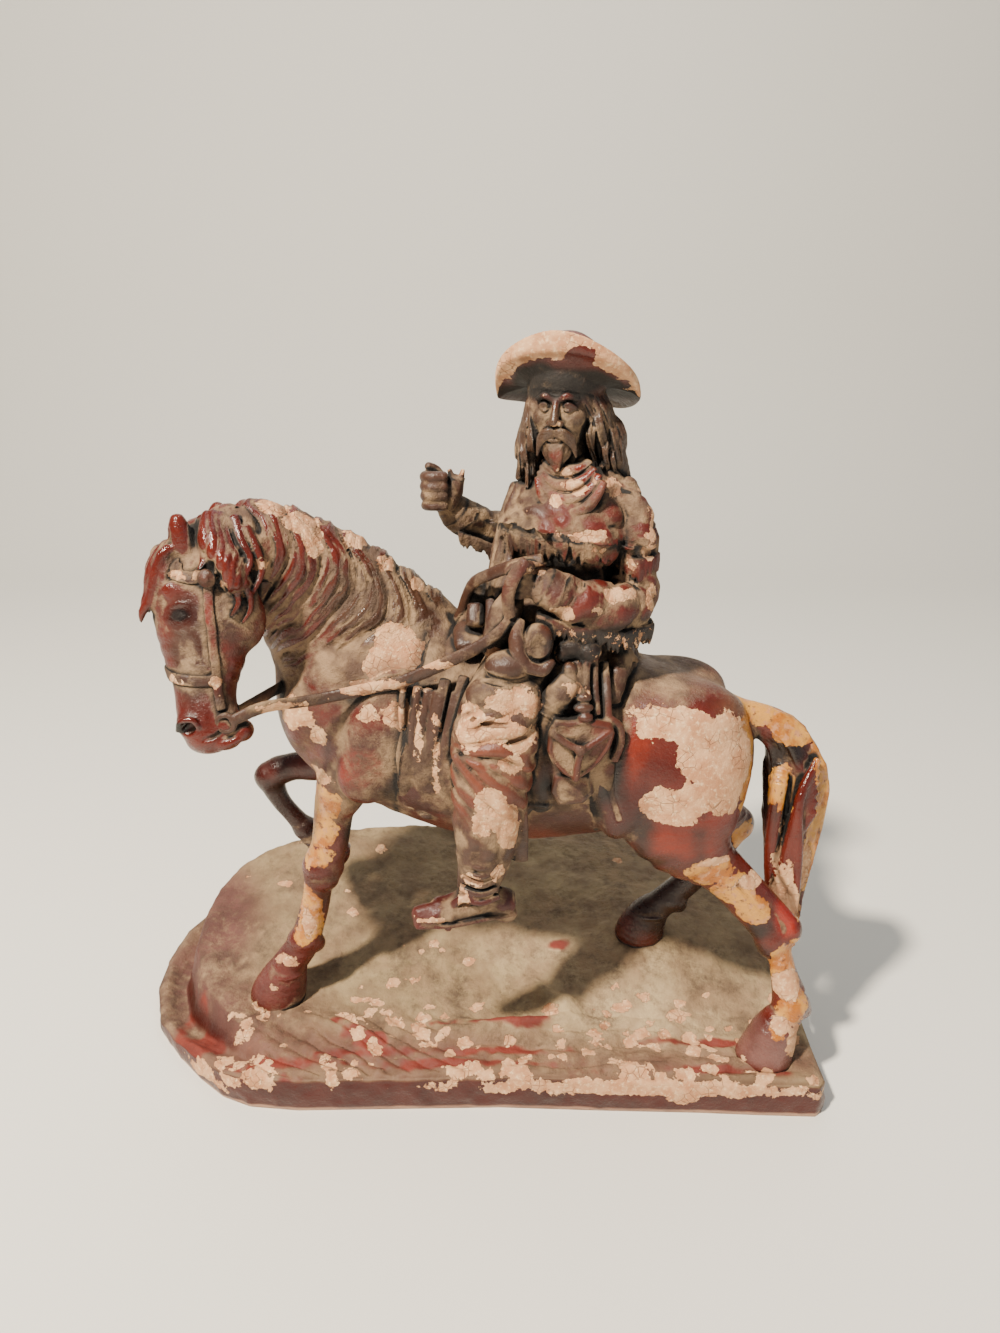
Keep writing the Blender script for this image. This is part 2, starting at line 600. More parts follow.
    def depth(self, points):
        """The distance of some places from the skin, negative inside."""
        q = (points - self.low) / self.voxel
        held = ((q >= 0) & (q < self.count - 1.001)).all(axis=1)
        q = q[held]
        cell = q.astype(np.int32)
        f = (q - cell).astype(np.float32)
        total = np.zeros(len(q), np.float32)
        for a, b, c in CORNERS:
            share = f[:, 0] if a else 1 - f[:, 0]
            share = share * (f[:, 1] if b else 1 - f[:, 1])
            share = share * (f[:, 2] if c else 1 - f[:, 2])
            total += share * self.field[cell[:, 0] + a, cell[:, 1] + b, cell[:, 2] + c]
        found = np.full(len(points), FAR, np.float32)
        found[held] = total
        return found

    def strap(self, under, points, half, thick=1.3, lift=0.5):
        """A flat strap laid on the skin of a block of clay."""
        path = resample([(*p, 1, 1) for p in points], 4)[:, :3]
        for _ in range(5):
            slope = [under.depth(path + e) - under.depth(path - e) for e in np.eye(3) * 1.5]
            out = np.stack(slope, axis=1)
            out = out / (np.linalg.norm(out, axis=1)[:, None] + 1e-6)
            path = path - out * (under.depth(path) - lift)[:, None]
        for n in range(len(path) - 1):
            ends = [(*path[n], thick, half), (*path[n + 1], thick, half)]
            self.limb(ends, tuple(out[n] + out[n + 1]), 0.3, (0.5, 0.5), spans=1)

    def skin(self):
        """The skin as vertices and quads: one vertex in each voxel that the skin crosses."""
        f = self.field
        inside = f < 0
        core = inside[:-1, :-1, :-1]
        mixed = np.zeros(core.shape, bool)
        nx, ny, nz = core.shape
        for a, b, c in CORNERS:
            mixed |= inside[a : nx + a, b : ny + b, c : nz + c] != core
        cells = np.argwhere(mixed)
        index = np.full(core.shape, -1, np.int32)
        index[mixed] = np.arange(len(cells), dtype=np.int32)
        flat = f.ravel()
        strides = np.array([f.shape[1] * f.shape[2], f.shape[2], 1])
        base = cells @ strides
        total = np.zeros((len(cells), 3))
        hits = np.zeros(len(cells))
        for axis in range(3):
            for corner in np.array(CORNERS):
                if corner[axis]:
                    continue
                g0 = flat[base + corner @ strides]
                g1 = flat[base + corner @ strides + strides[axis]]
                crossed = (g0 < 0) != (g1 < 0)
                t = np.where(crossed, g0 / np.where(crossed, g0 - g1, 1), 0)
                total += np.where(crossed[:, None], corner[None, :], 0)
                total[:, axis] += np.where(crossed, t, 0)
                hits += crossed
        verts = self.low + self.voxel * (cells + total / hits[:, None])
        quads = []
        for axis in range(3):
            a, b = (axis + 1) % 3, (axis + 2) % 3
            start = [slice(1, -1)] * 3
            start[axis] = slice(0, -1)
            stop = list(start)
            stop[axis] = slice(1, None)
            g0, g1 = inside[tuple(start)], inside[tuple(stop)]
            spots = np.argwhere(g0 != g1)
            entering = g0[tuple(spots.T)]
            spots = spots + np.array([0 if n == axis else 1 for n in range(3)])
            around = []
            for da, db in ((0, 0), (1, 0), (1, 1), (0, 1)):
                cell = spots.copy()
                cell[:, a] -= da
                cell[:, b] -= db
                around.append(index[tuple(cell.T)])
            quad = np.stack(around, axis=1)
            quad = np.where(entering[:, None], quad, quad[:, ::-1])
            quads.append(quad)
        return verts, np.concatenate(quads)


def resample(stations, spans):
    """More stations along the same smooth line, by a uniform Catmull-Rom curve."""
    s = np.array(stations, float)
    s = np.vstack([2 * s[0] - s[1], s, 2 * s[-1] - s[-2]])
    out = []
    for n in range(1, len(s) - 2):
        p0, p1, p2, p3 = s[n - 1 : n + 3]
        for i in range(spans):
            t = i / spans
            slope = (p2 - p0) * t
            bend = (2 * p0 - 5 * p1 + 4 * p2 - p3) * t * t
            twist = (3 * p1 - p0 - 3 * p2 + p3) * t**3
            out.append(0.5 * (2 * p1 + slope + bend + twist))
    out.append(s[-2])
    out = np.array(out)
    out[:, 3:] = np.maximum(out[:, 3:], THINNEST)
    return out


def section_frame(path, n, side):
    """The two axes of the section at a station: across, which follows side, and deep."""
    a, b = max(n - 1, 0), min(n + 1, len(path) - 1)
    along = path[b, :3] - path[a, :3]
    along = along / np.linalg.norm(along)
    side = np.array(side, float)
    across = side - along * (side @ along)
    across = across / np.linalg.norm(across)
    return across.astype(np.float32), np.cross(along, across).astype(np.float32)


def mane_relief(along, angle, x, y, z):
    """Long locks fall from the crest: a little back at first, then forward to the throat."""
    crest = np.interp(
        x, (-135, -120, -105, -85, -70, -53, -35, -20, 0), (350, 357, 357, 347, 338, 325, 311, 300, 290)
    )
    hem = np.interp(x, (-125, -100, -75, -50, -20, 0), (272, 243, 256, 276, 288, 294))
    h = np.maximum(crest - z, 0)
    flow = x - 1.6 * h * np.exp(-h / 22) + 0.0045 * h * h
    flow = flow + 4.5 * lumps(x, y, z, 40, 11) + 1.7 * lumps(x, y, z, 14, 12)
    broad = ridged(np.pi * (flow + 3.5 * lumps(x, y, z, 22, 18)) / 16.5, 0.7)
    middle = ridged(np.pi * (flow + 2.2 * lumps(x, y, z, 9, 13)) / 5.6, 0.8)
    fine = np.cos(2 * np.pi * flow / 2.7)
    near = smoothstep(-28, -46, y - 0.25 * (x + 70))
    reach = smoothstep(0, 16, z - hem) * np.maximum(near, smoothstep(26, 12, h))
    patchy = 0.75 + 0.25 * lumps(x, y, z, 24, 16)
    parted = 0.6 + 0.8 * np.clip(0.5 + lumps(x, y, z, 13, 19), 0, 1)
    return reach * (3.6 * broad * patchy + 1.05 * middle * parted + 0.3 * fine)


def tail_relief(along, angle, x, y, z):
    """The tail's long hairs run its whole length."""
    flow = angle * 6 + 0.9 * lumps(x, y, z, 26, 14) + 0.012 * along
    broad = ridged(flow * 0.5, 0.7)
    fine = np.cos(flow * 2.0 + 2 * lumps(x, y, z, 12, 15))
    return smoothstep(14, 50, along) * (2.6 * broad + 0.6 * fine + 0.6 * lumps(x, y, z, 8, 20))


def body_relief(along, angle, x, y, z):
    """The slight unevenness of flesh."""
    return 0.7 * lumps(x, y, z, 26, 21) + 0.3 * lumps(x, y, z, 11, 22)


def hoof_relief(along, angle, x, y, z):
    """Growth rings round the lower half of a hoof."""
    return 0.14 * np.cos(along * 1.5) * smoothstep(8, 14, along)


def make_horse():
    clay = Clay((-190, -124, 20), (214, 30, 366), 0.9)
    clay.limb(BARREL, HORSE_SIDE, 0, (0.9, 0.3), body_relief)
    clay.limb(NECK, HORSE_SIDE, 10, (0.3, 0.3), mane_relief)
    for chest in (
        [(-64, -61, 264, 14, 23), (-73, -61, 241, 17, 27), (-67, -59, 213, 13, 22)],
        [(-64, -13, 263, 14, 23), (-75, -11, 237, 17, 26), (-69, -15, 211, 13, 22)],
    ):
        clay.limb(chest, HORSE_SIDE, 4, carve=body_relief)
    for name, stations in LEGS.items():
        clay.limb(stations, HORSE_SIDE, 6 if "hind" in name else 5, (0.4, 0.4))
    # shoulder, haunch, stifle, forearm and the lobes of the breast
    for centre, radii, turn, tilt in (
        ((122, -88, 204), (26, 16, 31), 0.1, 0.3), ((118, -76, 240), (34, 22, 20), 0.1, 0),
        ((86, -92, 194), (12, 11, 21), 0.1, -0.3), ((-46, -80, 236), (20, 9, 34), 0.1, -0.25),
        ((-60, -76, 203), (15, 10, 16), 0.1, 0), ((118, -32, 240), (34, 20, 20), 0.1, 0),
        ((130, -30, 205), (24, 15, 28), 0.1, 0.3), ((-46, -8, 234), (19, 11, 36), 0.1, -0.25),
        ((-96, -60, 236), (11, 13, 17), 0.1, -0.2), ((-98, -26, 234), (11, 12, 17), 0.1, -0.2),
        ((-76, -64, 190), (12, 10, 17), 0.1, 0.2), ((106, -90, 176), (15, 11, 13), 0.1, 0.5),
    ):
        clay.lump(centre, radii, 8, turn, tilt=tilt)
    # the joints of the legs
    for centre, radii in (
        ((-93, -58, 134), (10.5, 10.5, 9)), ((-91, -57, 125), (9, 9, 8)), ((-84, -56, 132), (5, 6, 6)),
        ((-107, -56, 80), (10, 9, 7)), ((-99, -55, 76), (5, 6, 5)), ((188, -92, 112), (6, 6.5, 9)),
        ((176, -91, 104), (8.5, 8.5, 11)), ((193, -95, 62), (10, 9.5, 8.5)), ((200, -94, 57), (5, 6, 5)),
        ((172, -27, 146), (7, 7.5, 10)), ((132, -18, 84), (10, 9.5, 8)), ((137, -17, 79), (5, 6, 5)),
        ((-132, -10, 171), (9.5, 9, 9)), ((-124, -10, 176), (9, 9, 8)), ((-111, -7, 131), (8.5, 8, 7)),
    ):
        clay.lump(centre, radii, 3)
    # the sinews, with a hollow between each and its bone
    for line, wide in (
        ([(-90, -56, 120), (-94, -55, 100), (-99, -55, 84)], 3.4),
        ([(184, -90, 100), (190, -91, 84), (197, -94, 70)], 3.2),
        ([(150, -86, 158), (168, -89, 138), (186, -92, 118)], 4.5),
        ([(160, -27, 160), (171, -27, 152)], 4.5),
    ):
        clay.rod(line, wide, wide, HORSE_SIDE, 1.6)
    for line, wide in (
        ([(-88, -66, 119), (-94, -64, 100), (-100, -63, 88)], 1.1),
        ([(178, -99, 98), (184, -100, 84), (190, -103, 74)], 1.1),
        ([(152, -98, 146), (166, -99, 130), (176, -99, 116)], 1.3),
        ([(77, -99, 236), (76, -103, 212), (82, -104, 190)], 2.6),
        ([(-102, -43, 258), (-107, -43, 240), (-100, -44, 222)], 2.6),
        ([(-80, -76, 196), (-72, -78, 184), (-66, -74, 176)], 1.4),
    ):
        clay.rod(line, wide, wide, HORSE_SIDE, 0, cut_out=True)
    # the hooves, under a swollen coronet
    for stations in HOOVES:
        x, y, z, across, deep = stations[-1]
        # one that stands reaches down into the ground
        rooted = stations + ([(x - 1, y, z - 6, across, deep)] if z < 100 else [])
        clay.limb(rooted, HORSE_SIDE, 1.2, (0.3, 0.12), hoof_relief)
        (x0, y0, z0, a0, d0), (x1, y1, z1, *_) = stations[:2]
        f = 0.45  # how far down the coronet is
        ring = (x0 + (x1 - x0) * f, y0 + (y1 - y0) * f, z0 + (z1 - z0) * f)
        clay.lump(ring, (d0 * 1.18 + 1, a0 * 1.18 + 1, 3.4), 1.4)
    clay.limb(TAIL, HORSE_SIDE, 4, (0.3, 0.9), tail_relief)
    # hairs that hang free on the inside of the tail
    for i in range(9):
        y, x = -56 - 2.2 * i, 183 - 0.9 * i
        line = [(x + 2, y, 222 - 3 * i), (x - 7 + i, y, 203 - 6 * i), (x - 7 + i, y - 2, 180 - 7 * i)]
        clay.limb([(*p, r, r * 1.5) for p, r in zip(line, (3.0, 2.8, 0.9))], HORSE_SIDE, 0.6)
    for i in range(6):
        line = [
            (198, -72 - i, 212 - 6 * i), (188 - i, -79, 190 - 8 * i), (190, -82, 160 - 6 * i),
            (191, -86, 132 - 4 * i),
        ]
        clay.limb([(*p, r, r) for p, r in zip(line, (2.4, 3, 2.6, 1))], HORSE_SIDE, 1.4)
    return clay


def tuft_relief(along, angle, x, y, z):
    """Short strands that slant from the crest down over the cheek."""
    flow = (x * 0.95 - z * 0.3 + 5 * lumps(x, y, z, 17, 17)) / 5.2
    return ridged(np.pi * flow, 0.8) + 0.5 * lumps(x, y, z, 7, 21)


def add_horse_head(clay):
    clay.limb(HEAD, HORSE_SIDE, 3, (0.3, 0.75))
    # jowls, brows, the bridge of the nose, the ridge below the eye and the cheeks of the muzzle
    for centre, radii, turn, tilt in (
        ((-122, -81, 301), (14.5, 9, 20), 0.1, 0.1), ((-120, -57, 302), (13, 8, 18), 0.1, 0),
        ((-147, -87, 315), (11, 4.2, 7), 0.2, -0.2), ((-147, -61, 316), (9, 6, 5), -0.2, -0.3),
        ((-128, -98, 247), (8, 8, 8), 0.1, 0), ((-152, -74, 286), (7.5, 9, 24), 0.1, 0.1),
        ((-146, -101, 247), (8, 7, 8), 0.1, 0), ((-147, -88, 249), (8, 7, 8), 0.1, 0),
    ):
        clay.lump(centre, radii, 3, turn, tilt=tilt)
    for side in (
        [(-146, -91, 302), (-140, -94, 293), (-136, -96, 284), (-134, -97, 277)],
        [(-144, -60, 302), (-138, -62, 293), (-134, -66, 284)],
    ):
        clay.rod(side, 2.8, 2.8, HORSE_SIDE, 2.5)
    for hollow in ((-132, -102, 289), (-147, -101, 284), (-123, -101, 277)):
        clay.lump(hollow, (4.5, 4.5, 9), 4, cut_out=True)
    # the eyes: ball, upper and lower lid, and the fold above them
    for x, y, z, out in ((-148, -87.5, 305, -1), (-146, -61.5, 305, 1)):
        clay.lump((x, y + out * 2.0, z), (5.8, 3.6, 3.8), 1.2)
        upper = [(-6.5, 0.2, -2.2), (-3, 3.4, 1.6), (2, 4.2, 2.8), (6, 3.4, 1.4), (9, 2.2, -0.6)]
        lower = [(-6.5, 0.2, -2.2), (-2, 3.6, -3.2), (3, 3.8, -2.6), (7, 2.8, -0.4)]
        for line, r in ((upper, 1.2), (lower, 0.9)):
            clay.limb([(x + a, y + out * b, z + c, r, r) for a, b, c in line], HORSE_SIDE, 0.5)
        fold = [(-7, 1.6, 1.2), (-2, 4.6, 5), (4, 4.8, 5.4), (9, 3.6, 2)]
        clay.limb([(x + a, y + out * b, z + c, 1.1, 1.1) for a, b, c in fold], HORSE_SIDE, 1)
    # nostrils: a comma-shaped opening under a flared rim
    for x, y, z, out in ((-146, -105, 248, -1), (-148, -86, 249, 1)):
        clay.lump((x, y + out * 3, z - 1.5), (5.2, 3.6, 2.8), 1.0, 0.4, cut_out=True, tilt=0.7)
        ring = [(-6, 1, -3), (-4.6, 2.6, 2), (-1, 3.6, 4.4), (3.4, 3.6, 4), (5.4, 3, 0.4)]
        clay.limb([(x + a, y + out * b, z + c, 1.5, 1.5) for a, b, c in ring], HORSE_SIDE, 1.2)
    # the mouth, the lower lip with the bit behind it, and the chin
    clay.limb(
        [(-146, -111, 241, 1.2, 1.2), (-139, -110, 241, 1.4, 1.4), (-132, -107, 243, 1.2, 1.2),
         (-128, -104, 247, 0.8, 0.8)], HORSE_SIDE, 0, cut_out=True,
    )
    clay.lump((-130, -99, 237), (8.5, 9, 5), 1.6, 0.1)
    clay.lump((-121, -98, 242), (6.5, 7, 6), 1.6, 0.1)
    clay.limb(
        [(-134, -104, 238, 2.4, 2.4), (-127, -105, 238, 2.8, 2.6), (-120, -103, 240, 2, 2)], HORSE_SIDE, 1,
    )
    # the ears are shells, open to the front
    for ear, out in (
        ([(-145, -76, 329, 6, 8), (-147.5, -78, 338, 6.4, 7.6), (-148.5, -79, 346, 5.2, 6),
          (-149, -79, 353, 2.8, 3.4)],
        -1), ([(-138, -48, 332, 6, 8), (-138.5, -46, 341, 6, 7.2), (-138, -45, 348, 4.8, 5.4),
         (-137, -45, 353, 2.4, 3)], 1),
    ):
        clay.limb(ear, HORSE_SIDE, 1.5, (0.5, 0.6))
        hollow = [(x - 6, y + out * 3.4, z, a * 0.45, d * 0.45) for x, y, z, a, d in ear[1:]]
        clay.limb(hollow, HORSE_SIDE, 0, (0.5, 0.3), cut_out=True)
    # the forelock hangs over the brow, in locks that part at their tips
    clay.limb(
        [(-141, -66, 339, 10, 5), (-151, -69, 335, 13, 8), (-158, -73, 325, 14, 11),
         (-159.5, -77, 314, 12, 10.5),
         (-160, -80, 305, 8, 7)], HORSE_SIDE, 2, (0.5, 0.6), tuft_relief,
    )
    for i in range(10):
        out = i % 5
        y = -60 - 2.6 * i
        tip = 326 - 5.2 * (i % 5) - 1.5 * (i > 4)
        line = [
            (-148, y + 3, 339), (-157, y - 1, 334), (-163 - out * 0.6, y - 2, tip + 8),
            (-166 - out, y - 3, tip + 1),
            (-169 - out * 0.6, y - 4, tip - 5),
        ]
        clay.limb([(*p, r, r) for p, r in zip(line, (2.2, 3.0, 2.8, 2.2, 0.6))], HORSE_SIDE, 1.0)
    # the mane between the ear and the cheek: a mass of hair, and locks that stand a little off it
    clay.limb(
        [(-132, -68, 346, 12, 9), (-129, -77, 339, 13, 8), (-122, -83, 330, 12, 7), (-118, -86, 319, 9, 6)],
        HORSE_SIDE, 2, (0.5, 0.6), tuft_relief,
    )
    clay.lump((-116, -73, 334), (9, 6, 13), 4, 0.1, tilt=0.2)
    clay.lump((-133, -79, 330), (9, 8, 8), 4)
    for line, r in (
        ([(-138, -72, 350), (-137, -80, 341), (-135, -86, 333), (-137, -90, 328)], 2.8),
        ([(-133, -72, 351), (-131, -81, 342), (-127, -87, 333), (-129, -91, 326)], 2.8),
        ([(-128, -72, 351), (-124, -81, 342), (-119, -87, 333), (-122, -92, 324)], 2.8),
        ([(-122, -72, 351), (-117, -80, 341), (-112, -84, 331), (-116, -90, 321)], 2.8),
        ([(-116, -74, 346), (-110, -79, 336), (-107, -82, 325), (-112, -87, 314)], 2.8),
        ([(-126, -88, 326), (-120, -90, 319), (-118, -91, 311), (-122, -93, 304)], 2.2),
        ([(-118, -88, 322), (-113, -88, 314), (-113, -89, 306), (-117, -91, 300)], 2.0),
        ([(-121, -86, 334), (-115, -87, 326), (-117, -91, 316)], 2.2),
    ):
        taper = np.linspace(1, 0.35, len(line))
        clay.limb([(*p, r * f, r * f * 1.25) for p, f in zip(line, taper)], HORSE_SIDE, 1.0)


horse_clay = make_horse()
add_horse_head(horse_clay)
horse = make_object("horse", *horse_clay.skin())
finish_piece(horse)

BARE += [
    # neck and crest
    (-104, -58, 354, 9, 9, 4), (-86, -60, 347, 12, 9, 6), (-83, -62, 338, 6, 8, 9),
    (-60, -50, 334, 12, 9, 5), (-44, -48, 322, 9, 8, 4), (-30, -46, 308, 7, 7, 3),
    (-122, -68, 347, 4, 4, 2), (-41, -66, 278, 13, 14, 14), (-50, -72, 268, 8, 10, 8),
    (-33, -66, 274, 9, 12, 9), (-60, -84, 262, 10, 12, 4), (-51, -80, 246, 12, 10, 7),
    (-38, -86, 246, 9, 9, 8), (-95, -64, 240, 13, 14, 10), (-83, -70, 229, 8, 8, 7),
    (-84, -64, 200, 12, 10, 4), (-73, -64, 196, 4, 8, 5),
    # rump
    (128, -90, 224, 24, 18, 20), (106, -101, 200, 13, 12, 11), (99, -99, 200, 6, 8, 8),
    (116, -102, 194, 12, 10, 7), (143, -90, 222, 13, 18, 20), (112, -92, 244, 22, 16, 10),
    (96, -95, 250, 10, 12, 4), (130, -82, 242, 22, 18, 9), (138, -96, 200, 10, 12, 9),
    (128, -98, 206, 15, 12, 12), (119, -100, 203, 12, 12, 12), (140, -94, 212, 12, 14, 14),
    # the far side
    (-72, -22, 300, 16, 12, 10), (-44, -14, 262, 9, 10, 12), (-20, 6, 232, 12, 9, 8),
    (112, -14, 232, 17, 12, 14), (128, -8, 214, 12, 10, 12), (88, -6, 246, 8, 9, 5),
    (30, 14, 250, 9, 8, 10), (20, 20, 196, 8, 8, 14), (-128, -42, 292, 7, 8, 9),
    # tail and hind leg
    (186, -78, 126, 9, 14, 22), (194, -74, 145, 7, 8, 14), (180, -70, 158, 5, 8, 16),
    (138, -101, 163, 9, 8, 3), (158, -92, 146, 14, 6, 4), (187, -99, 78, 8, 10, 12),
    (184, -108, 54, 8, 8, 5), (192, -104, 44, 7, 9, 12), (188, -84, 96, 4, 6, 10), (-118, -60, 68, 9, 9, 3),
    (-128, -68, 50, 4, 4, 3), (-102, -62, 96, 4, 6, 10),
    # head
    (-150, -84, 325, 7, 7, 2.6), (-138, -88, 325, 4, 5, 3), (-124, -87, 322, 8, 6, 3),
    (-117, -84, 317, 5, 6, 4), (-108, -78, 326, 5, 5, 5), (-154, -96, 271, 4, 6, 3.2),
    (-133, -99, 270, 3, 4, 3),
]
# the legs, the tail and the croup are ochre
OCHRE = [
    (-82, -62, 184, 12, 16, 12), (-88, -60, 163, 10, 12, 18), (-92, -60, 143, 9, 10, 10),
    (-100, -60, 104, 8, 10, 22), (-106, -60, 86, 6, 8, 8), (136, -98, 156, 14, 12, 10),
    (150, -98, 143, 13, 11, 10), (163, -98, 129, 10, 10, 10), (160, -64, 241, 30, 14, 9),
    (186, -65, 231, 18, 16, 12), (203, -66, 206, 10, 14, 24), (205, -70, 172, 9, 14, 26),
    (199, -78, 146, 9, 11, 16), (180, -72, 192, 8, 10, 16), (150, -84, 232, 12, 16, 12),
    (158, -22, 130, 9, 9, 9), (184, -98, 92, 9, 10, 14), (190, -100, 66, 9, 12, 14),
    (182, -104, 50, 6, 10, 7), (190, -92, 104, 6, 8, 8), (153, -86, 212, 6, 12, 22),
    (170, -30, 142, 8, 9, 12), (188, -82, 116, 7, 10, 18),
]


def horse_scheme(points, normals, fine, wide, bend):
    x, y, z = points.T
    colour = flat_colour(len(points), "#571b11")
    colour = shades(points, colour, (
        ([(-20, -60, 215, 60, 60, 34), (70, -70, 190, 34, 50, 24)], "#3f140d"),
        ([(-70, -60, 300, 60, 60, 60)], "#571f16"),
        ([(-40, -60, 300, 40, 40, 28)], "#4d3527", 8),
        # the face, which is brown between its red edges
        ([(-144, -92, 286, 11, 22, 26), (-124, -90, 300, 7, 20, 14)], "#43291f", 4),
    ))
    nostrils = [(-150, -108, 247, 5.5, 4, 4), (-151, -84, 247, 4.5, 3.4, 4), (-119, -99, 280, 2.5, 8, 5)]
    colour = shades(points, colour, (
        (nostrils, "#0c0504", 0.8),
        # croup
        ([(106, -56, 264, 42, 34, 12), (140, -62, 248, 20, 24, 10)], "#6b4d38", 6),
        # haunch and thigh
        ([(90, -100, 234, 10, 12, 16), (120, -100, 180, 26, 14, 14)], "#70220f"),
        ([(143, -98, 196, 14, 14, 18), (-62, -84, 214, 14, 14, 14)], "#6a2012"),
        ([(77, -98, 222, 8, 14, 22), (104, -70, 162, 30, 34, 10)], "#150906", 5),
        ([(126, -92, 176, 5, 12, 14), (96, -98, 180, 6, 10, 12)], "#2a1a14", 4),
        # legs
        ([(-92, -58, 126, 14, 14, 16), (-118, -58, 74, 12, 12, 10)], "#4f140b"),
        ([(-72, -52, 168, 8, 12, 30), (-96, -50, 108, 5, 8, 24)], "#170b07", 4),
        ([(168, -94, 116, 10, 10, 9), (172, -92, 100, 7, 10, 8)], "#230d08", 4),
        ([(182, -98, 122, 6, 9, 12)], "#8a2417"),
        ([(-120, -10, 150, 40, 14, 44), (135, -22, 110, 44, 16, 60)], "#2b130d", 6),
        # hooves
        ([(-124, -54, 46, 20, 20, 17)], "#5e2a25", 4),
        ([(179, -98, 38, 20, 20, 16)], "#6f4a44", 4),
        # inside of the tail
        ([(176, -62, 196, 9, 16, 30), (184, -64, 216, 12, 16, 9)], "#1c0f0a", 4),
    ))
    ridges = smoothstep(0.01, 0.15, bend)
    grooves = smoothstep(-0.01, -0.14, bend)
    neck = smoothstep(-22, -34, x) * smoothstep(238, 262, z)
    face = smoothstep(-112, -122, x) * smoothstep(225, 240, z)
    dust = 0.26 + 0.42 * grooves + 0.45 * fine + 0.75 * wide + 0.34 * lumps(x, y, z, 17, 41)
    dust = dust + 0.2 * np.clip(normals[:, 2], 0, 1) + 0.22 * neck - 0.28 * face - 0.55 * ridges
    eyes = [(-149, -91, 304.5, 5, 5, 3.4), (-147, -58, 304.5, 5, 5, 3.4)]
    sockets = [(-147, -91, 304, 10, 6, 8), (-146, -58, 304, 10, 6, 8)]
    colour = shades(points, colour, (
        (sockets, "#3a1710", 2),
        (eyes, "#120705", 0.8),
    ))
    dust = dust - smoothstep(-1, 1, field_of(nostrils, points))
    dust = dust - smoothstep(-1, 1.5, field_of(sockets, points))
    dust = dust - 0.5 * smoothstep(-2, 4, field_of([(-144, -98, 246, 16, 16, 13)], points))
    sheen = 1 - 0.3 * smoothstep(-1, 1.5, field_of(eyes, points))
    body = smoothstep(60, 75, x) * (1 - smoothstep(240, 262, z))
    dust = dust - 0.28 * body - 0.2 * smoothstep(120, 100, z)
    # the neck is dull above the rein
    matt = smoothstep(-3, 3, field_of([(-70, -76, 274, 20, 16, 12)], points))
    dust = dust + 0.5 * matt
    gloss = (0.7 + 0.25 * ridges - 0.3 * dust) * sheen * (1 - 0.7 * matt)
    chips = 0.12 + 0.25 * ridges + 0.1 * neck
    return colour, dust, gloss, chips, NOWHERE


# The saddlery
# Saddle, saddle cloth, bags, bridle and reins are parts of the same cast, modelled over the horse.
# Their straps are flat bands of clay that were pressed on.

GIRTHS = [
    ([(-27, -89, 263), (-29, -92, 250), (-31, -92, 238), (-31, -90, 226)], 2.6),
    ([(-21, -90, 262), (-25, -93, 244), (-28, -91, 226), (-28, -88, 212)], 2.8),
    ([(-12, -91, 268), (-17, -95, 246), (-22, -93, 222), (-24, -87, 203), (-24, -80, 188)], 3.2),
    ([(-2, -92, 270), (-8, -97, 248), (-14, -95, 222), (-17, -88, 202), (-19, -80, 187)], 3.2),
    ([(-17, -92, 262), (-21, -94, 240), (-25, -91, 216)], 1.8),
    ([(-7, -94, 262), (-12, -97, 240), (-17, -94, 214)], 1.9),
    ([(-35, -86, 262), (-36, -90, 250), (-36, -89, 240)], 2.0),
    ([(4, -94, 264), (0, -99, 240), (-6, -98, 214)], 2.6),
]
HEART = [
    (45, 255.5), (52, 254), (60, 254.5), (68, 253), (75, 251), (77, 245), (75, 237), (70, 229), (64, 223),
    (57, 218.5), (50, 223), (44, 230), (41, 238), (42, 247),
]


def saddle_cloth_relief(along, angle, x, y, z):
    folds = ridged(np.pi * (x + 0.12 * z + 4 * lumps(x, y, z, 30, 71)) / 13, 0.8)
    return 1.1 * folds + 0.5 * lumps(x, y, z, 9, 72)


def leather_relief(along, angle, x, y, z):
    return 0.9 * lumps(x, y, z, 9, 73) + 0.4 * lumps(x, y, z, 4, 74)


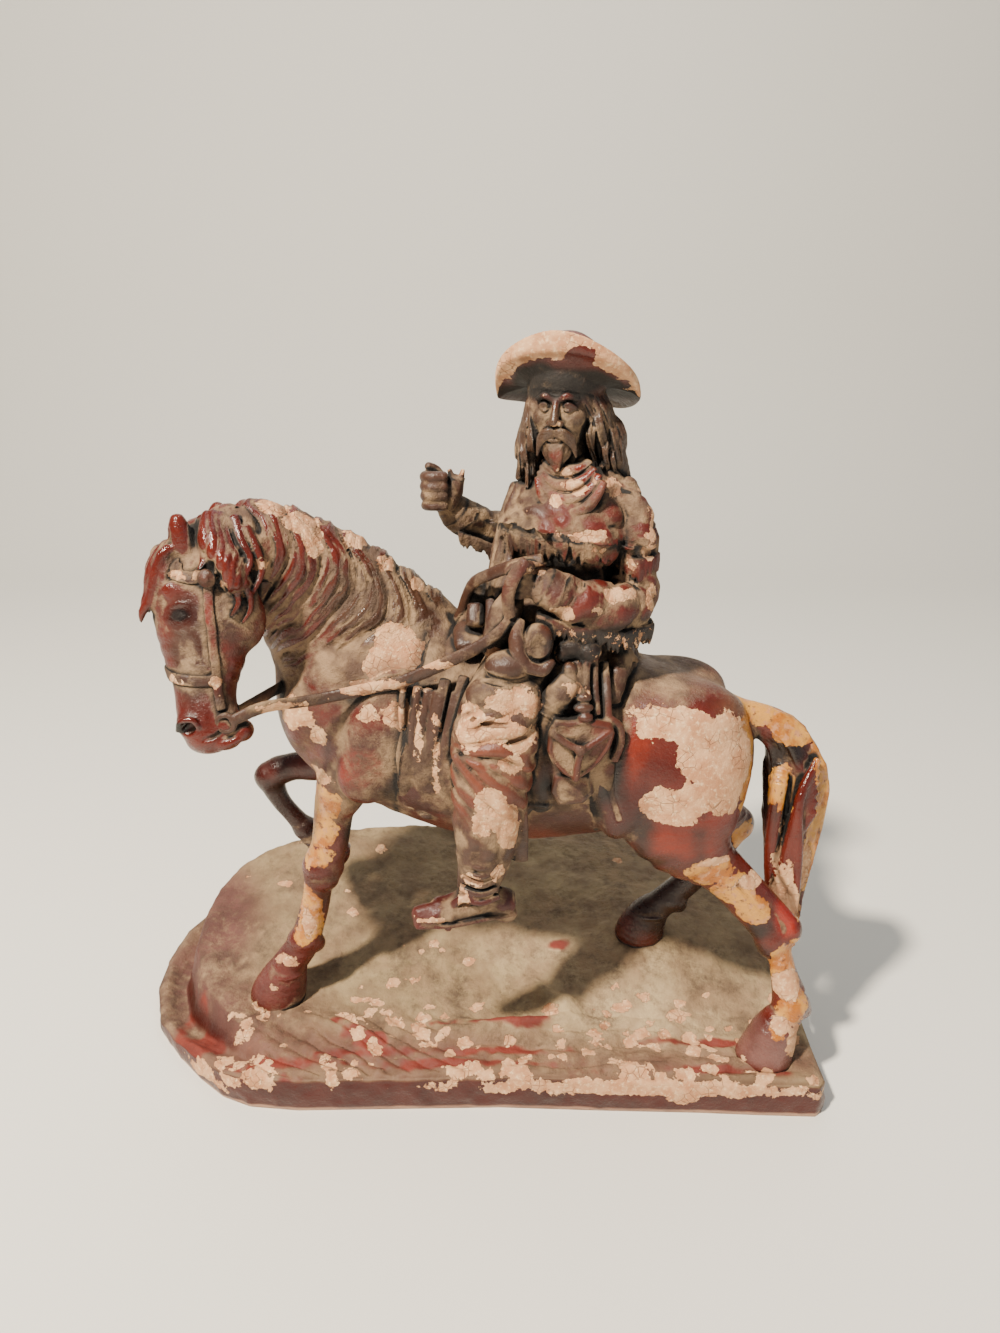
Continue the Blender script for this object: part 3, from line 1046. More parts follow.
def make_saddlery(under):
    clay = Clay((-175, -124, 165), (112, 30, 352), 0.9)
    clay.limb(
        [(-30, -41, 228, 51, 59), (16, -46, 220, 56, 58), (46, -49, 220, 56, 55), (68, -51, 222, 54, 50)],
        HORSE_SIDE, 0, (0.05, 0.05), saddle_cloth_relief,
    )
    # seat, and the roll tied behind it
    clay.limb(
        [(2, -46, 262, 26, 28), (34, -48, 256, 34, 30), (62, -50, 258, 33, 28), (76, -52, 262, 28, 24)],
        HORSE_SIDE, 1, (0.2, 0.2), leather_relief,
    )
    clay.limb(
        [(76, -90, 258, 6, 6), (82, -76, 272, 7, 7), (85, -50, 278, 8, 8), (82, -26, 272, 7, 7),
         (76, -12, 258, 6, 6)],
        DOWN, 1, carve=leather_relief,
    )
    for y in (-72, -60, -40, -28):
        clay.limb(
            [(76, y, 270, 2, 2), (84, y, 284 - abs(y + 50) * 0.25, 2, 2), (92, y, 272, 2, 2)],
            (0, 1, 0), 0.6,
        )
    # pommel: horn, swell, and the coat folded over it
    clay.limb(
        [(0, -46, 278, 13, 11), (4, -50, 292, 9, 8), (6, -52, 302, 6, 6)],
        HORSE_SIDE, 2, carve=leather_relief,
    )
    clay.limb([(6, -47, 307, 7.2, 7.2), (5, -58, 308, 7.6, 7.6)], (0, 0, 1), 1, (0.2, 0.2))
    clay.lump((4, -61, 308), (4.6, 2.4, 4.6), 0.6, cut_out=True)
    clay.limb([(-2, -52, 282, 7, 8), (0, -66, 286, 6, 9), (2, -78, 282, 5, 9)], DOWN, 2, carve=leather_relief)
    clay.limb(
        [(24, -80, 311, 7, 6), (19, -86, 302, 9, 8), (15, -89, 292, 8, 7), (12, -90, 284, 6, 5)],
        HORSE_SIDE, 1, carve=leather_relief,
    )
    clay.limb([(12, -70, 306, 1.8, 3), (12, -80, 298, 1.8, 3), (11, -88, 288, 1.8, 3)], HORSE_SIDE, 0.5)
    clay.limb([(4, -68, 302, 5, 5), (4, -74, 294, 5, 5)], HORSE_SIDE, 1, carve=leather_relief)
    # the oval pouch, with a thick roll round its lower edge
    clay.lump((36, -101, 292), (8.6, 6.5, 11), 0.8, 0.1, tilt=-0.1)
    clay.lump((37, -107, 293), (5.2, 2.2, 7), 1.2, 0.1, cut_out=True)
    roll = [
        (28, -101, 304), (26, -104, 297), (26.5, -106, 289),
        (31, -108, 282), (38, -108, 280), (44, -106, 284),
    ]
    clay.limb(
        [(*p, r, r) for p, r in zip(roll, (2.4, 3.6, 4.0, 3.8, 3.4, 2.4))],
        HORSE_SIDE, 0.5, carve=leather_relief,
    )
    # knotted bundle, and the end of the roll that is strapped on beside it
    clay.lump((55, -92, 287), (8, 7, 8), 1, 0.2)
    clay.lump((58, -88, 293), (7, 6, 5), 1, -0.3)
    clay.lump((50, -93, 284), (5, 5, 6), 1)
    clay.limb([(57, -92, 285, 5.2, 5.2), (66, -94, 285, 6.2, 6.2)], HORSE_SIDE, 0.5, (0.3, 0.2))
    clay.limb([(62, -93, 285, 6.8, 6.8), (64, -93.5, 285, 6.8, 6.8)], HORSE_SIDE, 0.3, (0.1, 0.1))
    for line in (
        [(62, -97, 281), (61, -103, 274), (61, -107, 266)],
        [(66, -93, 280), (66, -101, 268), (67, -107, 255)],
        [(72, -89, 277), (73, -99, 264), (73, -105, 252)],
        [(57, -99, 281), (57, -104, 274), (57, -107, 267)],
    ):
        clay.rod(line, 1.7, 2.7, HORSE_SIDE, 0.4)
    for centre, radii in (
        ((60, -108, 265), (4.6, 3.6, 2.8)), ((60, -110, 260), (5.4, 3.8, 2.6)),
        ((61, -112, 255.5), (4.2, 3.4, 2.6))
    ):
        clay.lump(centre, radii, 0.5)
    # the long case: stopper, mouth, neck rings and body
    clay.lump((53, -103, 278.5), (4, 4, 4), 0.4)
    clay.limb(
        [(53, -104, 273, 6.2, 6.2), (49, -106, 268, 8, 7.4), (45, -106, 262, 7.6, 7), (42, -104, 252, 6.2, 6),
         (39, -101, 240, 5.6, 5.6), (37, -98, 222, 5, 5), (37, -96, 200, 4.4, 4.4)],
        HORSE_SIDE, 0.6, (0.2, 0.4),
    )
    for x, y, z in ((45.6, -106, 262.5), (43.8, -105.5, 259), (42, -105, 255.5)):
        clay.lump((x, y, z), (8.4, 7.6, 1.4), 0.4, tilt=-0.48)
    for z in (229, 222, 213, 206, 199):
        clay.limb([(33, -99, z, 2, 2.2), (43, -101, z - 0.6, 2, 2.2)], (0, 1, 0), 0.5, (0.4, 0.4))
    # the bag under its forked strap, and the small one below
    clay.plate(HEART, -107, 5.0, (0.11, -0.03), 1.8, 1.5)
    for line in (
        [(44, -115, 248), (51, -116.5, 243), (59, -116.5, 238.5)],
        [(75, -110.5, 247.5), (67, -113.5, 242.5), (59, -116.5, 238.5)],
        [(59, -116, 238.5), (57.5, -115, 230), (57, -113, 220)],
    ):
        clay.rod(line, 1.8, 2.0, HORSE_SIDE, 0.4)
    clay.lump((58.5, -117.5, 239), (3, 2, 3), 0.4)
    clay.plate(
        [(46, 220), (66, 220), (68, 208), (62, 202), (49, 201), (44, 209)], -101, 5, (0.05, 0.04), 1.2, 0.8,
    )
    loop = [(75, -105, 251), (80, -103, 246), (81, -102, 236), (78, -103, 227)]
    clay.rod(loop, 2.2, 2.4, HORSE_SIDE, 0.5)
    # girths and saddle strings
    for line, half in GIRTHS:
        clay.rod(line, 2.0, half, HORSE_SIDE, 0.4)
        far = [(x + 1.5, -76 - y + (226 - z) * 0.02, z) for x, y, z in line]
        clay.rod(far, 2.0, half, HORSE_SIDE, 0.4)
    for y in (-74, -18):
        clay.lump((-30, y, 187), (8.5, 7, 4.8), 1, 0.1, tilt=0.1)
        clay.lump((-17, y - 1, 185), (8.5, 7, 4.4), 1, 0.1)
        clay.lump((-24, y - 2, 181), (6, 6, 4), 1, 0.1)
    # the bridle
    clay.strap(under, [
        (-112, -54, 320), (-128, -52, 325), (-146, -60, 327), (-155, -72, 326), (-154, -83, 325),
        (-145, -89, 324), (-133, -90, 324), (-120, -85, 321), (-110, -76, 317),
    ], 3.6)
    clay.strap(under, [
        (-131, -100, 271), (-142, -101, 271), (-155, -95, 271), (-160, -85, 272), (-156, -75, 273),
        (-143, -69, 274), (-130, -70, 275),
    ], 3.2)
    for cheek in (
        [(-133, -90, 321), (-133, -93, 307), (-132, -95, 297), (-132, -96, 287), (-131, -99, 271),
         (-129, -103, 256)],
        [(-131, -56, 321), (-131, -56, 307), (-130, -60, 290), (-129, -70, 271), (-128, -80, 256)],
    ):
        clay.strap(under, cheek, 2.7)
    for x, y, z, out in ((-133, -92, 324, -1), (-131, -54, 324, 1)):
        clay.lump((x, y, z), (5, 3, 5), 0.4)
        clay.lump((x, y + out * 2, z), (2.8, 2.4, 2.8), 0.3)
    for x, y in ((-127, -105), (-133, -80)):
        ring = [(x + 4.6 * math.cos(t), y, 249 + 4.6 * math.sin(t)) for t in np.linspace(0, 2 * math.pi, 11)]
        clay.rod(ring, 1.5, 1.5, (0, 1, 0), 0.3)
    # the reins, which lie along the neck and meet in the near hand
    clay.limb(
        [(-124, -105, 250, 1.8, 3.2), (-108, -100, 256, 1.8, 3.7), (-84, -90, 256, 1.9, 3.7),
         (-52, -87, 262, 1.9, 3.7), (-34, -89, 267, 1.9, 3.7), (-2, -96, 284, 1.9, 3.7),
         (14, -99, 295, 1.8, 3.4), (22, -100, 304, 1.6, 3)],
        (0.107, 0.994, 0.25), 0.4,
    )
    clay.limb(
        [(22, -100, 306, 1.8, 3.4), (21, -103, 318, 1.8, 3.6), (24, -104, 328, 1.9, 3.6),
         (30, -101, 335, 2, 3.4)], (0.3, 0.95, 0), 0.4,
    )
    clay.limb(
        [(-127, -82, 246, 2, 3.2), (-116, -64, 248, 1.9, 3.4), (-92, -30, 254, 1.9, 3.4),
         (-60, -8, 268, 1.9, 3.4)],
        (0.85, -0.52, 0), 0.4,
    )
    clay.limb(
        [(38, -97, 335, 1.8, 3.2), (25, -92, 331, 1.9, 3.4), (13, -82, 324, 1.9, 3.4),
         (3, -70, 316, 1.9, 3.4), (-2, -58, 304, 1.9, 3.2), (-5, -52, 294, 1.9, 3), (-10, -46, 284, 1.9, 3)],
        (0.5, 0.8, -0.3), 0.4,
    )
    return clay


saddlery_clay = make_saddlery(horse_clay)
saddlery = make_object("saddlery", *saddlery_clay.skin())
finish_piece(saddlery)

BARE += [
    (-100, -98, 255, 12, 9, 3.6), (-44, -89, 264, 26, 7, 3), (-14, -93, 278, 12, 7, 3),
    (-18, -92, 225, 3, 5, 30), (-27, -93, 240, 2.5, 5, 18), (-32, -93, 246, 2, 4, 8),
    (6, -70, 296, 3, 6, 4), (53, -108, 270, 6, 4, 4), (62, -107, 266, 2, 4, 5),
]


def cloth_scheme(points, normals, fine, wide, bend):
    x, y, z = points.T
    colour = flat_colour(len(points), "#432a1e")
    colour = shades(points, colour, (
        ([(76, -80, 338, 40, 22, 44), (66, -94, 312, 38, 16, 13)], "#5c1c12", 6),
        ([(14, -110, 222, 26, 24, 34)], "#6a3522", 6),
        ([(0, -118, 140, 36, 20, 14)], "#4a140c", 3),
        ([(60, -104, 237, 24, 16, 24), (66, -94, 285, 7, 9, 7)], "#5a2a1c", 4),
        ([(24, -104, 320, 7, 12, 18)], "#4b1d13", 3),
        ([(-132, -88, 290, 8, 14, 36)], "#6c1d11", 2),
        ([(40, -90, 208, 9, 18, 42), (36, -90, 268, 14, 12, 8)], "#120b08", 4),
        ([(57, -60, 305, 28, 24, 14), (80, -84, 296, 36, 14, 6)], "#1b120c", 5),
        ([(0, 0, 300, 30, 30, 60)], "#33261d", 6),
    ))
    ridges, grooves = smoothstep(0.01, 0.16, bend), smoothstep(-0.01, -0.14, bend)
    dust = 0.6 + 0.1 * grooves + 0.4 * fine + 0.3 * wide + 0.5 * lumps(x, y, z, 9, 42) - 0.36 * ridges
    dust = dust - 0.5 * smoothstep(-2, 3, field_of([(40, -92, 206, 10, 16, 44)], points))
    # the fringe that hangs under the near arm is dark, with white tips
    fringe = smoothstep(-2, 2, field_of([(70, -92, 291, 42, 18, 9), (72, -88, 285, 40, 22, 7)], points))
    colour = shade(points, colour, [(70, -92, 290, 42, 18, 9)], "#1c110b", 2)
    dust = dust - 0.4 * fringe
    gloss = 0.4 + 0.2 * ridges - 0.3 * dust
    chips = 0.26 + 0.3 * ridges + 0.35 * fringe
    return colour, dust, gloss, chips, NOWHERE


# The rider's body
# A loose coat with a fringed cape and fringed sleeves, wide chaps and boots. The fringes are thin
# tongues of clay laid side by side, and the folds are tooled into each limb.

RIDER_SIDE = (0.83, -0.55, 0)
TORSO = [
    (50, -50, 270, 27, 22), (50, -52, 292, 25, 19), (53, -52, 312, 26, 19), (56, -50, 335, 28, 20),
    (58, -47, 352, 36, 21), (57, -48, 364, 28, 17), (55, -50, 374, 13, 12),
]
NEAR_ARM = [
    (80, -56, 359, 11, 12), (87, -62, 340, 11.5, 12.5), (90, -67, 319, 12, 13), (87, -74, 306, 12.5, 13.5),
    (76, -84, 306, 12, 13), (58, -91, 311, 11, 12), (45, -94, 317, 9.5, 10), (36, -94, 323, 6.5, 7),
]
FAR_ARM = [
    (46, -24, 352, 11, 12), (40, -8, 336, 11, 11), (20, -8, 329, 11, 12), (-4, -20, 341, 9.5, 10),
    (-13, -25, 351, 6.5, 7),
]
LEG = [
    (40, 276, 20, 18), (28, 271, 20, 20), (19, 257, 19, 21), (14, 238, 18, 23), (12, 212, 16, 20),
    (10, 188, 14, 18), (7, 168, 12, 14.5), (5, 152, 10, 11),
]
NEAR_LEG_Y = (-70, -84, -98, -106, -109, -109, -108, -108)
FAR_LEG_Y = (-26, -8, 8, 16, 19, 19, 18, 18)
BOOT = [(22, 5, 137, 7, 8), (7, 0, 143, 8.5, 9.5), (-10, -5, 141, 8, 7.5), (-27, -10, 139, 5, 5)]


def sleeve_relief(along, angle, x, y, z):
    """Slanting folds that wind round the sleeve."""
    flow = along / 15 + angle / math.pi + 0.35 * lumps(x, y, z, 22, 51)
    folds = ridged(np.pi * flow, 0.8)
    creases = ridged(np.pi * (along + 5 * np.cos(angle) + 5 * lumps(x, y, z, 15, 77)) / 8.5, 0.5)
    return 2.4 * folds + 0.5 * creases + 0.6 * lumps(x, y, z, 7, 52) + 0.3 * lumps(x, y, z, 3, 53)


def fur_relief(along, angle, x, y, z):
    return 1.3 * lumps(x, y, z, 8, 54) + 0.8 * lumps(x, y, z, 4, 55)


def cape_relief(along, angle, x, y, z):
    """Folds that fall from the shoulders, and a wrinkled shirt front."""
    flow = (x * 0.8 + z * 0.45 + 3 * lumps(x, y, z, 22, 56)) / 11
    folds = ridged(np.pi * flow, 0.8)
    creases = ridged(np.pi * (z - 0.3 * x + 6 * lumps(x, y, z, 17, 78)) / 9, 0.5)
    return (1.7 * folds + 1.0 * creases) * smoothstep(296, 316, z) + 1.1 * lumps(x, y, z, 7, 57)


def leg_relief(along, angle, x, y, z):
    """Deep folds across the bend of the knee, and long slanting ones down the calf."""
    fan = np.arctan2(z - 240, x + 20) + 0.07 * lumps(x, y, z, 20, 58)
    knee = smoothstep(226, 236, z) * smoothstep(268, 256, z) * smoothstep(-12, 4, x)
    rays = ridged(np.pi * fan / 0.27, 0.8)
    below = smoothstep(196, 206, z) * smoothstep(240, 230, z)
    slant = ridged(np.pi * ((x + z) * 0.72 + 2 * lumps(x, y, z, 24, 59)) / 9, 0.8)
    calf = smoothstep(206, 196, z)
    long = ridged(np.pi * (x * 0.9 - z * 0.16 + 2 * lumps(x, y, z, 26, 68)) / 10, 0.8)
    return 2.6 * knee * rays + 2.2 * below * slant + 1.4 * calf * long + 0.9 * lumps(x, y, z, 7, 60)


def strip_relief(along, angle, x, y, z):
    """Leather strips laid side by side down the edge of the coat."""
    strips = ridged(3.5 * angle + 0.5 * lumps(x, y, z, 12, 75), 0.6)
    return 2.2 * strips + 0.6 * lumps(x, y, z, 6, 76)


def tongues(clay, line, count, length, seed, lean=(0, 0, 0), thick=1.5, hug=0.0):
    """A fringe: tapered tongues that hang from a line, of uneven length, some of them crossing."""
    rng = np.random.default_rng(seed)
    line, lean = np.array(line, float), np.array(lean, float)
    for i in range(count):
        place = (i + 0.5) / count * (len(line) - 1)
        n = int(place)
        step = line[n + 1] - line[n]
        top = line[n] + step * (place - n)
        drop = length * rng.uniform(0.7, 1.15)
        sway = step / np.linalg.norm(step) * rng.uniform(-1, 1) * 1.6
        r = thick * rng.uniform(0.8, 1.2)
        rows = []
        for t in (0, 0.35, 0.7, 1):
            p = top + lean * t * drop + sway * t**1.5 - np.array([0, 0, drop]) * t
            p = p + np.array([0, -1, 0]) * hug * math.sin(math.pi * t)
            rows.append((*p, r * (1.05 - 0.6 * t**2), r * (1.05 - 0.6 * t**2)))
        clay.limb(rows, (1, 0, 0), 0.25, (0.5, 0.9), spans=1)


def make_hand(clay, palm, radii, across, out, curl, thumb):
    """A closed hand: palm, four folded fingers of three joints each, and a thumb over them."""
    palm, across, out = np.array(palm, float), np.array(across, float), np.array(out, float)
    clay.lump(palm, radii, 1.2)
    inward = np.cross(out, across)
    for i in range(4):
        row = palm + across * (1.5 - i) * 4.3
        r = (2.5, 2.6, 2.5, 2.2)[i]
        line = [
            row + out * 1.5 - inward * curl * 5, row + out * 5.5 - inward * curl * 4.6,
            row + out * 6.6 - inward * curl * 0.2, row + out * 3 + inward * curl * 2.6,
        ]
        clay.rod(line, r, r, across, 0.5, (0.8, 0.9))
    line = [palm + np.array(q) for q in thumb]
    clay.limb([(*p, r, r) for p, r in zip(line, (3, 2.8, 2.1))], across, 0.8, (0.8, 0.9))


def make_rider_body():
    clay = Clay((-42, -134, 118), (116, 44, 384), 0.85)
    clay.limb(TORSO, RIDER_SIDE, 0, carve=cape_relief)
    clay.limb([(49, -52, 287, 28, 22), (49, -52, 293, 28, 22)], RIDER_SIDE, 1, (0.05, 0.05))
    clay.limb([(40, -62, 292, 30, 18), (38, -64, 276, 30, 22)], RIDER_SIDE, 2, (0.1, 0.2), cape_relief)
    # the cape over the chest, and the shirt that shows under it
    clay.limb(
        [(55, -54, 364, 24, 15), (53, -57, 354, 31, 20), (51, -60, 346, 34, 23), (50, -61, 341, 35, 24.5)],
        RIDER_SIDE, 1, (0.1, 0.05), cape_relief,
    )
    clay.limb(
        [(80, -60, 364, 9, 8), (86, -69, 350, 11, 8), (88, -74, 336, 11, 6)],
        RIDER_SIDE, 1.5, carve=sleeve_relief,
    )
    clay.limb(
        [(31, -46, 361, 8, 8), (26, -50, 347, 9, 8), (22, -56, 332, 9, 7), (18, -62, 317, 8, 6),
         (15, -66, 307, 6, 5)],
        RIDER_SIDE, 1.5, carve=strip_relief,
    )
    clay.limb(NEAR_ARM, RIDER_SIDE, 2, carve=sleeve_relief)
    clay.limb(FAR_ARM, RIDER_SIDE, 2, carve=fur_relief)
    # the cuff, and the folded collar
    clay.limb([(47, -94, 318, 9, 9.5), (41, -94, 321, 9, 9.5)], RIDER_SIDE, 0.8, (0.1, 0.1))
    clay.limb([(-4, -20, 341, 10, 10.5), (-8, -22, 345, 9.5, 10)], RIDER_SIDE, 0.8, (0.1, 0.1))
    make_hand(
        clay, (30, -94, 323), (6.5, 6, 9), (0.1, -0.1, 1), (-0.95, -0.3, 0), -1,
        [(2, -5, 9), (-4, -6.5, 9), (-9, -4, 6)],
    )
    clay.lump((-17, -28, 357), (7, 7, 11), 1.5)
    for i, r in enumerate((3.2, 3.3, 3.2, 2.8)):
        z = 366.5 - 5.3 * i
        finger = [
            (-14, -35, z), (-21, -35.5, z), (-24.5, -31, z - 0.5), (-23.5, -25, z - 1), (-18, -22, z - 1),
        ]
        clay.rod(finger, r, r, (0, 0, 1), 0.9, (0.8, 0.9))
    clay.limb(
        [(-14, -24, 361, 3.2, 3.2), (-19, -22, 368, 3, 3), (-23, -25, 371, 2.4, 2.4)],
        HORSE_SIDE, 1, (0.6, 0.9),
    )
    # the broken stub of what the far hand held
    clay.limb(
        [(-13, -30, 349, 4.6, 5), (-9, -31, 358, 4.4, 5), (-7, -31, 365, 3.6, 4)],
        HORSE_SIDE, 1.2, (0.3, 0.1), fur_relief,
    )
    clay.limb([(-9, -31, 363, 2.2, 2.2), (-11, -31, 370, 1.2, 1.4)], HORSE_SIDE, 0.6, (0.3, 0.3))
    clay.limb([(-5, -31, 364, 2.2, 2), (-3.5, -31, 370, 1.2, 1.2)], HORSE_SIDE, 0.6, (0.3, 0.3))
    # the legs in their chaps, each with its boot
    for ys, out in ((NEAR_LEG_Y, 1), (FAR_LEG_Y, -1)):
        clay.limb([(a, y, *rest) for (a, *rest), y in zip(LEG, ys)], HORSE_SIDE, 2, carve=leg_relief)
        ankle_y = ys[-1]

        def low(x, inward, z):
            """A place at this leg, given by how far inward of its ankle it is."""
            return (x, ankle_y + out * inward, z)

        # boot: foot, heel, sole, spur strap and the loose end that hangs from it
        clay.limb(
            [(*low(a, dy, z), r, d) for a, dy, z, r, d in BOOT],
            HORSE_SIDE, 1.5, (0.3, 0.9), fur_relief,
        )
        sole = [
            (24, 5, 134, 7, 3), (6, 0, 134.5, 8.5, 2.6), (-10, -5, 134, 8.6, 2.4),
            (-29, -10, 134.5, 5.4, 2.2),
        ]
        clay.limb([(*low(a, dy, z), r, d) for a, dy, z, r, d in sole], HORSE_SIDE, 0.5, (0.6, 0.9))
        clay.lump(low(20, 5, 131), (7, 6.5, 5), 0.8)
        strap = [(12, -9, 153), (0, -10.5, 152), (-8, -10, 147), (-10, -9.5, 138), (-12, -8.5, 130)]
        clay.limb([(*low(*p), 2.2, 2.2) for p in strap], HORSE_SIDE, 0.6)
        for i in range(5):
            fold = [(16 - i, -9, 151 + 5 * i), (6, -12, 149 + 5.5 * i), (-5 + i, -9, 151 + 5.5 * i)]
            clay.limb([(*low(*p), 2, 2) for p in fold], HORSE_SIDE, 1.2)
        # lobes and creases of the chaps above the knee
        for cx, cy, z, rx, ry, rz in (
            (22, -3, 281, 13, 10, 8), (14, -6, 266, 15, 11, 10), (30, -6, 262, 9, 9, 11),
            (8, -9, 246, 15, 10, 7), (20, -10, 236, 12, 9, 7),
        ):
            clay.lump(low(cx, cy + 8, z), (rx, ry, rz), 2, 0.15)
        for crease in (
            [(2, -8, 256), (16, -13, 254), (30, -12, 257)], [(-2, -8, 240), (14, -14, 242), (30, -10, 247)],
            [(6, -2, 276), (18, -6, 274), (30, -4, 276)],
        ):
            line = [(*low(a, b + 1, c), 1.5, 1.5) for a, b, c in crease]
            clay.limb(line, HORSE_SIDE, 0, cut_out=True)
        flap = [(-6, -9, 236), (2, -13, 226), (12, -15, 216), (22, -13, 212)]
        clay.limb([(*low(*p), 2.6, 2.6) for p in flap], HORSE_SIDE, 1.5)
        strap = [(24, -4, 226), (27, -5, 206), (28, -4, 184), (28, -2, 170)]
        clay.limb([(*low(*p), 2, 4.5) for p in strap], HORSE_SIDE, 0.6)
    # the fringes
    sx, sy = RIDER_SIDE[:2]
    wide, deep = 34.5, 24
    hem = []
    for t in np.linspace(0.1, math.pi + 0.2, 12):
        u, v = math.cos(t), math.sin(t)
        hem.append((50 + sx * wide * u + sy * deep * v, -61 + sy * wide * u - sx * deep * v, 342))
    tongues(clay, hem, 34, 11, 61, (0, 0.08, 0), 1.5)
    tongues(
        clay, [(77, -70, 345), (84, -77, 344), (92, -76, 344), (99, -68, 345)],
        18, 20, 63, (0, -0.02, 0), 1.5, 1.2,
    )
    tongues(
        clay, [(80, -74, 332), (89, -81, 331), (96, -77, 331), (101, -69, 332)],
        16, 14, 64, (0, 0, 0), 1.5, 1.0,
    )
    tongues(clay, [(99, -54, 346), (100, -68, 340)], 8, 24, 65, (0, 0, 0), 1.6)
    under = [(36, -97, 307), (60, -97, 300), (82, -90, 295), (98, -80, 297)]
    for i, (back, seed) in enumerate(((0, 66), (4, 67), (8, 70))):
        tongues(clay, [(x, y + back, z - 1) for x, y, z in under], 32 - 4 * i, 10, seed, (0, 0.05, 0), 2.0)
    tongues(clay, [(-6, -28, 334), (22, -24, 322)], 14, 8, 71, (0, 0, 0), 1.8)
    return clay


body_clay = make_rider_body()
rider_body = make_object("rider_body", *body_clay.skin())
finish_piece(rider_body)

BARE += [
    # leg and boot
    (22, -110, 265, 13, 14, 7), (17, -97, 281, 9, 12, 6), (32, -110, 263, 7, 10, 7),
    (12, -117, 251, 15, 14, 8), (2, -117, 252, 8, 14, 14), (26, -116, 246, 10, 12, 8),
    (22, -118, 234, 8, 10, 7), (12, -123, 214, 8, 9, 8), (18, -122, 203, 9, 10, 9),
    (22, -120, 191, 8, 10, 9), (8, -121, 202, 5, 8, 9), (2, -118, 163, 7, 8, 5), (-3, -118, 152, 4, 8, 8),
    (-24, -121, 139, 7, 5, 2), (15, -117, 166, 4, 5, 4),
    # coat, fringes and the broken stub
    (76, -72, 366, 5, 8, 7), (92, -66, 366, 4, 5, 3), (94, -68, 352, 4, 6, 5), (56, -88, 345, 13, 9, 3.4),
    (64, -84, 338, 4, 5, 2), (95, -76, 344, 4, 5, 4), (95, -78, 334, 5, 5, 5), (84, -82, 329, 6, 5, 3),
    (47, -102, 308, 6, 6, 5), (78, -93, 315, 14, 7, 3), (66, -98, 309, 5, 5, 2.4), (97, -84, 312, 3, 8, 8),
    (33, -98, 331, 6, 6, 3), (-6, -31, 369, 3, 3, 2), (-12, -31, 370, 2, 3, 2),
    # the far side
    (66, -30, 348, 7, 8, 6), (40, -20, 330, 8, 8, 10),
]


# The rider's head
# The head, its long hair, the slouch hat and the neckerchief are modelled in the round. The face is a
# plain calm one of this file's own, with a moustache and a tuft on the chin.

HEAD_SIDE = (0.96, -0.28, 0)
HEAD_AT = (50, -57, 400)
HAT_AT = (52, -52, 417)
CROWN_RADIUS = 17
BRIM_RISE = 23.3


def on_head(right, front, up):
    """A place given from the middle of the head: to the viewer's right, to its front and up."""
    hx, hy = HEAD_SIDE[0], HEAD_SIDE[1]
    return (HEAD_AT[0] + hx * right + hy * front, HEAD_AT[1] + hy * right - hx * front, HEAD_AT[2] + up)


def head_line(rows):
    """Stations from rows of (right, front, up, across, deep)."""
    return [(*on_head(*row[:3]), *row[3:]) for row in rows]


